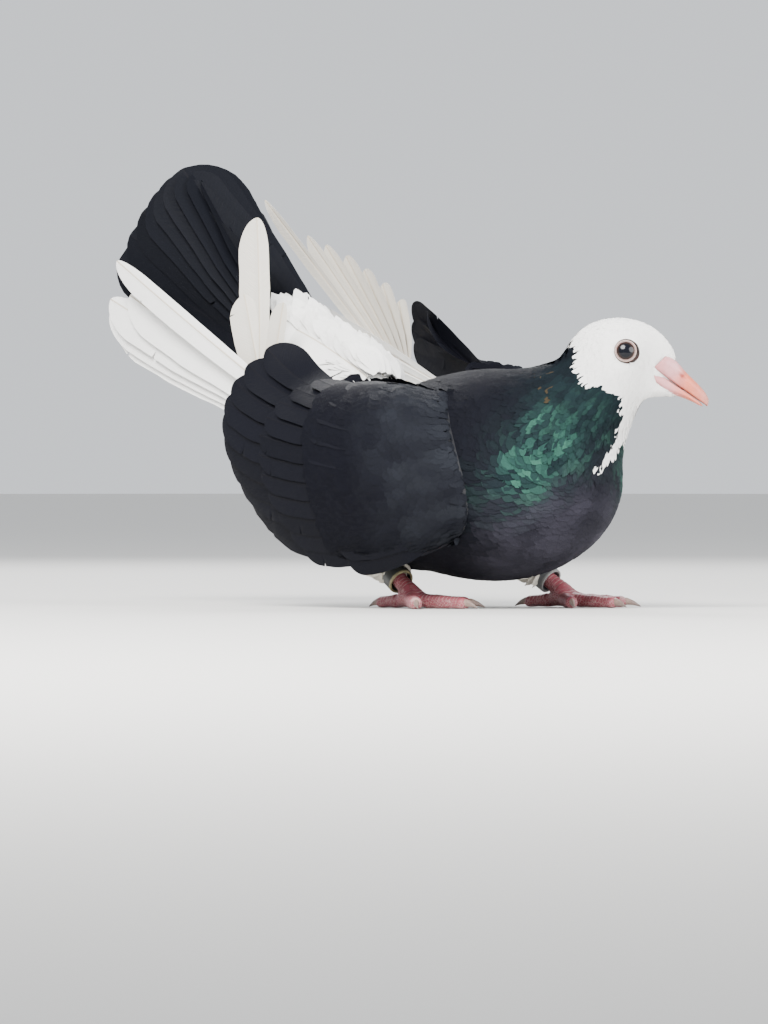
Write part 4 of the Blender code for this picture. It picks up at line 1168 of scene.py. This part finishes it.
for name, side in SIDES.items():
    shield = wing_shield(side)
    steps = np.linspace(0, CORE_END, CORE_ROWS), np.linspace(0, 1, CORE_COLUMNS)
    back, up = np.meshgrid(*steps, indexing="ij")
    face, normal = shield(back, up)
    edge = edge_of(back, up)
    sunk = CORE_SINK * np.clip((back - 0.15) / 0.2, 0, 1) + 5 * (1 - edge) + 0.9
    deep = np.interp(back, (0, 0.3, CORE_END), (11, 10, 1.2)) * (0.3 + 0.7 * edge) + 0.6
    sheets = [face - normal * (sunk + extra)[..., None] for extra in (0, deep)]
    points = np.concatenate(sheets).reshape(-1, 3)
    tint = np.tile((*BLACK, 1.0), (len(points), 1))
    faces = slab_faces(CORE_ROWS, CORE_COLUMNS)
    core = make(f"wing_core_{name}", points, faces, skin.data.materials[0], plumage=tint)
    turn_out(core)
    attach(core, "root")
    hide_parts(f"wing_{name}")
    feathers = []
    for f in np.linspace(0, 1, SECONDARIES):
        start, end = (0.38 - 0.06 * f, 0.13 + 0.70 * f), (1.0, 0.04 + 0.91 * f)
        feathers.append(laid(shield, start, end, SECONDARY_WIDTH, (-4.4, 0, 0), 1.3, narrow=0.5, lean=0.25))
    for f in np.linspace(0, 1, COVERTS):
        start, end = (0.22, 0.14 + 0.70 * f), (0.66 + 0.05 * math.sin(math.pi * f), 0.07 + 0.85 * f)
        feathers.append(laid(shield, start, end, COVERT_WIDTH, (-2.6, 1.2, 1.6), 0.9, narrow=0.5, lean=0.15))
    for f in np.linspace(0, 1, MEDIANS):
        start, end = (0.12, 0.12 + 0.74 * f), (0.44 + 0.05 * math.sin(math.pi * f), 0.06 + 0.87 * f)
        feathers.append(laid(shield, start, end, MEDIAN_WIDTH, (-1.8, 1.4, 2.0), 0.7, narrow=0.5))
    for start, tip in TERTIALS[side]:
        feathers.append(straight(start, tip, (0.25, side, 0.25), TERTIAL_WIDTH, narrow=0.6))
    wing = vanes(f"wing_vanes_{name}", feathers, varied(BLACK, len(feathers), 0.1), BLACK_VANE)
    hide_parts(f"wing_{name}")
    step = SMALL_COVERT_STEP
    rows, columns = np.arange(-0.035, SMALL_COVERT_END, step), np.arange(-0.03, 1.03, step * 1.5)
    back, up = np.meshgrid(rows, columns, indexing="ij")
    back = (back + rng.uniform(-0.4, 0.4, back.shape) * step).ravel()
    up = (up + rng.uniform(-0.6, 0.6, up.shape) * step).ravel()
    seats = covert_seat(shield, back, up)
    lie = unit(covert_seat(shield, back + 0.01, up) - seats)
    out = np.cross(lie, covert_seat(shield, back, up + 0.01) - seats)
    out = unit(out * np.sign((out * (shield(np.maximum(back, 0), up)[1] - lie * 0.2)).sum(1, keepdims=True)))
    length = np.interp(back, (-0.03, 0.1, 0.3), (4.5, 7.5, 11)) * rng.uniform(0.9, 1.1, len(back))
    ends = covert_seat(shield, back + length / 100, up)
    # Painted highlight: the small coverts are painted bluish grey at the leading edge, fading back over the
    # wing.
    painted_highlight = np.interp(back, (-0.03, 0.12, 0.26), (1.0, 0.75, 0.0)) * (0.75 + 0.5 * cloud(seats, 2.5))
    tint = varied(BLACK, len(back), 0.1) + (WING_PAINTED_HIGHLIGHT - BLACK) * painted_highlight[:, None]
    piece = grow(
        f"wing_coverts_{name}",
        seats,
        BROAD,
        COAT,
        lie=lie,
        out=out,
        size=np.stack((length * SMALL_COVERT_WIDTH, length, length * SMALL_COVERT_WIDTH), 1),
        place=np.stack((back, up), 1),
        colour=opaque(tint),
        gleam=0.0,
        droop=-((ends - seats - lie * length[:, None]) * out).sum(1) - 0.1,
        lift=0.4,
    )


# Primaries: the white quill feathers of each hand. The low ones lie together beside and under the tail,
# the high ones stand up beside it and are painted a darker cream as painted shade. They are stiff vanes
# with ivory shafts and a few splits.
PRIMARY_GROUPS = {
    "low": {
        RIGHT: {
            "quills": ((-20, -37, 60), (-22, -37, 63), (-25, -37, 66)),
            "facing": (0.25, -1, 0.25),
            "feathers": (
                ((-138, -11, 97), 1, -2.2, 14),
                ((-142, -11, 101), 1, -1.4, 14),
                ((-141, -12, 105), 1, -0.6, 14),
                ((-128, -15, 106), 1, 0.2, 14),
                ((-133.5, -16, 118), 3, 1.0, 8),
            ),
        },
        LEFT: {
            "quills": ((-22, 35, 69), (-24, 35, 72), (-27, 35, 75)),
            "facing": (0.25, 1, 0.25),
            "feathers": (
                ((-139, 10, 102), 1, -2.4, 14),
                ((-137, 15, 108), 1, -1.6, 14),
                ((-131, 22, 112), 1, -0.8, 14),
                ((-122, 30, 116), 1, 0.0, 14),
            ),
        },
    },
    "high": {
        RIGHT: {
            "quills": ((-49, -26, 68), (-50, -26, 69), (-52, -26, 70)),
            "facing": (0.25, -1, 0.25),
            "feathers": (
                ((-46, -21, 102), 0, -0.8, 7),
                ((-64, -22, 105), 0, 0.0, 11),
                ((-63, -17, 131), -1, 0.8, 12),
            ),
        },
        LEFT: {
            "quills": ((-46, 33, 80), (-46, 35, 82), (-45, 37, 83)),
            "facing": (-0.3, 1, 0.3),
            "feathers": (
                ((-116, 38, 140), 0, -1.6, 5),
                ((-105, 48, 127.5), 0, -0.8, 7),
                ((-97, 49, 124), 0, -0.4, 9),
                ((-88, 50, 120), 0, 0.0, 11),
                ((-79, 50, 115), 0, 0.5, 12),
                ((-70, 50, 110), 0, 1.0, 12),
                ((-61, 49, 104), 0, 1.4, 12),
            ),
        },
    },
}
# Painted shade: the high primaries, white like the low ones, are painted this darker cream.
PAINTED_SHADE_WHITE = np.array((0.60, 0.57, 0.51))


def through(points, f):
    """A place on the curve through three points."""
    first, middle, last = np.asarray(points, float)
    return first * (1 - f) * (1 - 2 * f) + middle * 4 * f * (1 - f) + last * f * (2 * f - 1)


WHITE_VANE = plumage_material(
    "white_vane", 0.9, 0.5, 0.4, (0.55, 0.47, 0.36), 0.55, 0.07, 0.3, Specular_IOR_Level=0.3
)
for name, side in SIDES.items():
    for part, groups in PRIMARY_GROUPS.items():
        group, facing = groups[side]["feathers"], unit(groups[side]["facing"])
        feathers = []
        for k, (tip, bow, level, width) in enumerate(group):
            quill = through(groups[side]["quills"], k / (len(group) - 1)) + facing * level
            feathers.append(straight(quill, tip, facing, width, bow, lean=-0.35 * side))
        # The high primaries get the darker cream as painted shade.
        tint = varied(PAINTED_SHADE_WHITE if part == "high" else WHITE, len(feathers), 0.04)
        piece = vanes(f"primary_vanes_{name}_{part}", feathers, tint, WHITE_VANE)
        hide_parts(f"primaries_{name}_{part}")


# Tail: twelve broad black rectrices in a fan cocked over the back, the middle pair on top.
TAIL_ROOT_WIDTH = 20.0
TAIL_TIPS = np.array(((-137, -16, 118.5), (-117, 3, 151), (-112, 39, 137.5)), float)
RECTRICES, RECTRIX_WIDTH, FAN_DROP = 12, 27.0, 4.6


def fan_feather(f, reach=1.0, lift=0.0):
    """Root, tip and upward direction of a feather of the tail's fan, from its near side to its far. The
    middle feathers lie on top of their neighbours."""
    root = TAIL_ROOT + np.array((2, (f - 0.5) * TAIL_ROOT_WIDTH, -2.5 * (2 * f - 1) ** 2))
    tip = through(TAIL_TIPS, f)
    across = through(TAIL_TIPS, f + 0.02) - through(TAIL_TIPS, f - 0.02)
    facing = unit(np.cross(across, tip - root))
    level = facing * (lift - FAN_DROP * abs(2 * f - 0.94))
    return root + level, root + (tip - root) * reach + level, facing


TAIL_BLACK = np.array((0.0030, 0.0035, 0.0058))
TAIL_VANE = plumage_material(
    "tail_vane", 0.9, 0.55, 0.4, (0.005, 0.005, 0.007), 0.65, 0.05, 0.4, Specular_IOR_Level=0.08
)
feathers = []
for f in np.linspace(0, 1, RECTRICES):
    root, tip, facing = fan_feather(f)
    feathers.append(straight(root, tip, facing, RECTRIX_WIDTH, -3.0, lean=0.3 * (2 * f - 1), tip=0.91))
tail = vanes("tail_vanes", feathers, varied(TAIL_BLACK, RECTRICES, 0.15), TAIL_VANE)
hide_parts("tail")


# Tail coverts: long white feathers in tiers over and under the base of the tail, the upper ones buried
# in loose, downy ones that fluff out over the rump.
TAIL_COVERTS = {
    "rump": (0.4, ((4, 0.30, 3.6, 12), (4, 0.22, 6.2, 16))),
    "vent": (0.0, ((5, 0.42, -3.8, -2),)),
}
TAIL_COVERT_WIDTH = 17.0
DOWN = {"rump": (700, 0.30, 7.0, 12.0), "vent": (260, 0.34, -7.5, 11.0)}
DOWN_AHEAD, DOWN_WIDTH, DOWN_STRAY = 19, 0.42, 0.10
for name, (first, tiers) in TAIL_COVERTS.items():
    feathers = []
    for count, reach, lift, ahead in tiers:
        for k in range(count):
            root, tip, facing = fan_feather(first + (1 - first) * k / (count - 1), reach, lift)
            bow = math.copysign(2.0, lift)
            feathers.append(straight(root + (ahead, 0, 0), tip, facing, TAIL_COVERT_WIDTH, bow, narrow=0.5))
    coverts = vanes(f"{name}_coverts", feathers, varied(WHITE, len(feathers), 0.05), WHITE_VANE)
    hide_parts(name)
    count, far, high, long = DOWN[name]
    places = np.sort(rng.random(count))[:, None] ** 0.8 * (1, 0) + rng.random((count, 2)) * (0, 1)
    seats, lies, outs = [], [], []
    for share, f in places:
        root, tip, facing = fan_feather(first + (1 - first) * f)
        facing = facing * math.copysign(1, high)
        seats.append(root + (tip - root) * share * far + facing * abs(high) * (1 - share * 0.8))
        seats[-1] += (DOWN_AHEAD * (1 - share), 0, 0)
        lies.append(unit(tip - root) + facing * 0.12 + rng.normal(0, DOWN_STRAY, 3))
        outs.append(facing)
    seats, outs, lies = np.array(seats), np.array(outs), unit(lies)
    outs = unit(outs - lies * (outs * lies).sum(1, keepdims=True))
    length = long * rng.uniform(0.75, 1.1, count)
    piece = grow(
        f"{name}_down",
        seats,
        HACKLE,
        COAT,
        lie=lies,
        out=outs,
        size=np.stack((length * DOWN_WIDTH, length, length * DOWN_WIDTH), 1),
        place=places,
        colour=opaque(varied(WHITE, count, 0.05)),
        gleam=0.0,
        droop=1.5,
        lift=1.0,
    )


# Feet: bare pink-red skin with a row of pale-edged scutes down the front of the shank and of each toe,
# small round scales at their sides, and soft pads below that lie flat on the floor.
TOE_LENGTHS = (14.0, 18.0, 23.0, 19.0)
TOE_ANGLES = (176.0, 38.0, 2.0, -40.0)
TOE_BONES = (2, 2, 3, 4)
TOE_RADIUS, SHANK_RADIUS = 2.35, 2.6
SCUTE, SCUTE_RISE = 1.5, 0.16
FOOT_CELL = 0.42


def toe_course(side, number):
    """Centre points and radii of one toe, thicker over its joints, and the way it points."""
    heading = math.radians(TOE_ANGLES[number] * -side)
    ahead = np.array((math.cos(heading), math.sin(heading), 0.0))
    u = np.linspace(0, 1, 9)
    course = FOOT_JOINTS[side] + np.outer(u * TOE_LENGTHS[number], ahead)
    course[:, 2] = np.interp(u, (0, 0.3, 0.75, 1), (4.2, 2.35, 2.05, 1.75))
    knuckles = 1 + 0.06 * np.cos(u * math.tau * TOE_BONES[number])
    return course, TOE_RADIUS * np.interp(u, (0, 1), (1.06, 0.84)) * knuckles, ahead


def foot_limbs(side):
    back, hock = shank(side)
    steps = np.linspace(0, 1, 6)
    course = FOOT_JOINTS[side] + np.outer(steps, hock - FOOT_JOINTS[side])
    limbs = [(course, SHANK_RADIUS * np.interp(steps, (0, 0.2, 1), (1.15, 1.0, 1.1)))]
    return limbs + [toe_course(side, number)[:2] for number in range(4)]


def foot_field(points, side):
    """Distance outside a foot, whose toes run softly into each other and lie flat on the floor."""
    distance = mass_distance(points, FOOT_JOINTS[side] + (0, 0, -1.8), (4.4, 4.0, 3.2), 0, 0)
    for course, radii in foot_limbs(side):
        one = limb_distance(points, course, radii)[0]
        share = np.maximum(1.6 - np.abs(one - distance), 0) / 1.6
        distance = np.minimum(one, distance) - share**2 * 0.4
    share = np.maximum(0.8 - np.abs(distance + points[:, 2]), 0) / 0.8
    return np.maximum(distance, -points[:, 2]) + share**2 * 0.2


def foot_material():
    material, tree, shader = blank("foot_skin", 0.48, Subsurface_Weight=0.12, Subsurface_Scale=0.001)
    place = node(tree, "ShaderNodeTexCoord").outputs["Object"]
    scute = node(tree, "ShaderNodeSeparateXYZ", {0: stored(tree, "scute", "Vector")}).outputs
    wander = noise(tree, 900.0)
    turns = sum_of(tree, "MULTIPLY_ADD", wander, 0.35, scute["X"])
    share = sum_of(tree, "FRACT", turns)
    near = sum_of(tree, "MINIMUM", share, sum_of(tree, "SUBTRACT", 1.0, share))
    rim = sum_of(tree, "SUBTRACT", 1.0, sum_of(tree, "MULTIPLY", near, 6.0), clamp=True)
    cells = node(tree, "ShaderNodeTexVoronoi", {"Vector": place, "Scale": 1100.0}, feature="DISTANCE_TO_EDGE")
    net = sum_of(tree, "SUBTRACT", 1.0, sum_of(tree, "MULTIPLY", cells.outputs["Distance"], 9.0), clamp=True)
    front = scute["Y"]
    line = sum_of(tree, "MULTIPLY_ADD", front, sum_of(tree, "SUBTRACT", rim, net), net)
    red = mix_colours(tree, wander, (0.20, 0.040, 0.055, 1), (0.34, 0.090, 0.11, 1))
    colour = mix_colours(tree, sum_of(tree, "MULTIPLY", line, 0.75), red, (0.50, 0.34, 0.32, 1))
    tree.links.new(colour, shader.inputs["Base Color"])
    bumped(tree, shader, sum_of(tree, "SUBTRACT", 1.0, line), 0.00012)
    return material


def horn_material():
    """Claws of pale horn, darker to their tips."""
    material, tree, shader = blank("claw_horn", 0.36)
    grain = noise(tree, 1500.0, 3.0)
    colour = mix_colours(tree, stored(tree, "reach"), (0.34, 0.23, 0.19, 1), (0.13, 0.10, 0.09, 1))
    tint = scaled(tree, colour, sum_of(tree, "ADD", grain, 0.5))
    tree.links.new(tint, shader.inputs["Base Color"])
    bumped(tree, shader, grain, 0.0001)
    return material


CLAW_LENGTH, CLAW_GAP, CLAW_SIDES = 6.5, 0.32, 18
FOOT_FINISH, HORN_FINISH = foot_material(), horn_material()
for name, side in SIDES.items():
    joint = FOOT_JOINTS[side]
    low, high = joint - (30, 30, 6.2), joint + (30, 30, 17)
    points, faces = surface_net(lambda p: foot_field(p, side), low, high, FOOT_CELL)
    normals = unit(slope_of(lambda p: foot_field(p, side), points))
    reaches = [limb_distance(points, *limb) for limb in foot_limbs(side)]
    nearest = np.argmin([distance for distance, _ in reaches], axis=0)
    along = np.choose(nearest, [along for _, along in reaches]) / SCUTE
    front = np.where(nearest == 0, normals @ turned(0, 57)[0], normals[:, 2])
    front = np.clip((front - 0.25) / 0.3, 0, 1)
    clear = np.clip((points[:, 2] - 0.6) / 0.6, 0, 1)
    points += normals * (SCUTE_RISE * (along % 1 - 0.5) * front * clear)[:, None]
    points[:, 2] = np.maximum(points[:, 2], 0)
    foot = make(f"foot_skin_{name}", points, faces, FOOT_FINISH, scute=np.stack((along, front, front * 0), 1))
    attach(foot, "root")
    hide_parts(f"foot_{name}")
    for number in range(4):
        course, radii, ahead = toe_course(side, number)
        u = np.linspace(0, 1, 14)[:, None]
        centres = joint + ahead * (TOE_LENGTHS[number] + CLAW_GAP + u * CLAW_LENGTH)
        centres[:, 2] = np.interp(u[:, 0], (0, 0.3, 0.65, 1), (1.9, 2.05, 1.5, 0.4))
        half = np.interp(u[:, 0], (0, 0.3, 0.65, 1), (1.3, 1.12, 0.72, 0.16))
        across = np.cross(ahead, (0, 0, 1))
        angles = np.arange(CLAW_SIDES) * math.tau / CLAW_SIDES
        loops = centres[:, None] + half[:, None, None] * (
            np.cos(angles)[:, None] * across * 0.8 + np.sin(angles)[:, None] * np.array((0, 0, 1.1))
        )
        points, faces = tube(loops)
        reach = np.repeat(u, CLAW_SIDES)
        claw = make(f"claw_horn_{name}_{number + 1}", points, faces, HORN_FINISH, reach=reach)
        turn_out(claw)
        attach(claw, "root")
        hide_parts(f"claw_{name}_{number + 1}")


# Leg rings: a smooth band of plastic slipped on each shank, the right one dark with a paler olive rim, the
# left one grey with a paler rim. They hang loose on the toes' joint.
RING_RADIUS, RING_WALL, RING_HEIGHT, RING_UP = 4.5, 0.9, 5.5, 8.5
RING_SIDES = 64
RING_COLOURS = {
    "right": ((0.030, 0.032, 0.030), (0.25, 0.22, 0.12)),
    "left": ((0.10, 0.105, 0.11), (0.22, 0.22, 0.21)),
}


def ring_material(name, body, rim):
    material, tree, shader = blank(name, 0.4)
    dirt = noise(tree, 600.0, 4.0)
    rim_mottle = sum_of(tree, "MULTIPLY_ADD", dirt, 1.6, 0.1)
    # The top and bottom rims are painted paler, mottled by the noise.
    worn = sum_of(tree, "MULTIPLY", stored(tree, "rim"), rim_mottle, clamp=True)
    colour = mix_colours(tree, worn, (*body, 1), (*rim, 1))
    tree.links.new(colour, shader.inputs["Base Color"])
    tree.links.new(sum_of(tree, "MULTIPLY_ADD", dirt, 0.5, 0.15), shader.inputs["Roughness"])
    bumped(tree, shader, dirt, 0.0001)
    return material


for name, side in SIDES.items():
    back, hock = shank(side)
    turns = np.arange(24) * math.tau / 24
    high, wide = np.sin(turns), np.cos(turns)
    bulge = np.sign(wide) * np.abs(wide) ** 0.4 * RING_WALL / 2
    tall = np.sign(high) * np.abs(high) ** 0.3 * RING_HEIGHT / 2
    profile = np.stack((RING_RADIUS - RING_WALL / 2 + bulge, tall), 1)
    middle = FOOT_JOINTS[side] + back * RING_UP
    points, faces = ring_of(middle, back, np.cross(back, (0, 1, 0)), profile, RING_SIDES)
    rim = np.tile(np.clip((np.abs(tall) - RING_HEIGHT / 2 + 0.9) / 0.5, 0, 1), RING_SIDES)
    finish = ring_material(f"band_{name}", *RING_COLOURS[name])
    band = make(f"leg_band_{name}", points, faces, finish, rim=rim)
    turn_out(band)
    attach(band, "root")
    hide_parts(f"ring_{name}")


# Stage: a plain pale floor under soft studio light, seen from the bird's right front and a little above it.
def area_light(name, place, aim, size, power, colour=(1, 1, 1)):
    data = bpy.data.lights.new(name, "AREA")
    data.shape = "DISK"
    data.size = size
    data.energy = power
    data.color = colour
    lamp = linked(name, data)
    lamp.location = place
    lamp.rotation_euler = (Vector(aim) - Vector(place)).to_track_quat("-Z", "Y").to_euler()


VIEW_DISTANCE, EYE_HEIGHT = 2.4, 0.040
PICTURE_HEIGHT = 0.3413
FLOOR_REACH = 30
AIM = (np.array((-9.67, -9.67, 31.7)) - FOOTPRINT) * MM
camera_data = bpy.data.cameras.new("camera")
camera_data.lens = 36.0 * VIEW_DISTANCE / PICTURE_HEIGHT
camera = linked("camera", camera_data)
camera.location = (AIM[0] + VIEW_DISTANCE * 0.7071, AIM[1] - VIEW_DISTANCE * 0.7071, EYE_HEIGHT)
camera.rotation_euler = (Vector(AIM) - camera.location).to_track_quat("-Z", "Y").to_euler()
bpy.context.scene.camera = camera
floor_mesh = bpy.data.meshes.new("floor")
corners = [(FLOOR_REACH * x, FLOOR_REACH * y, 0) for x, y in ((-1, -1), (1, -1), (1, 1), (-1, 1))]
floor_mesh.from_pydata(corners, [], [(0, 1, 2, 3)])
floor_material, _, _ = blank("floor", 0.8, Base_Color=(0.66, 0.65, 0.63, 1))
floor_mesh.materials.append(floor_material)
floor = linked("floor", floor_mesh)
world = bpy.data.worlds.new("studio")
world.use_nodes = True
world.node_tree.nodes["Background"].inputs["Color"].default_value = (0.85, 0.88, 0.92, 1)
world.node_tree.nodes["Background"].inputs["Strength"].default_value = 1.1
bpy.context.scene.world = world
area_light("key", (0.5, -1.0, 1.0), (0, 0, 0.07), 0.8, 60, (1, 0.985, 0.96))
area_light("fill", (1.3, 0.1, 0.5), (0, 0, 0.07), 0.9, 22)
area_light("rim", (-0.9, 0.7, 0.9), (0, 0, 0.08), 0.6, 16)
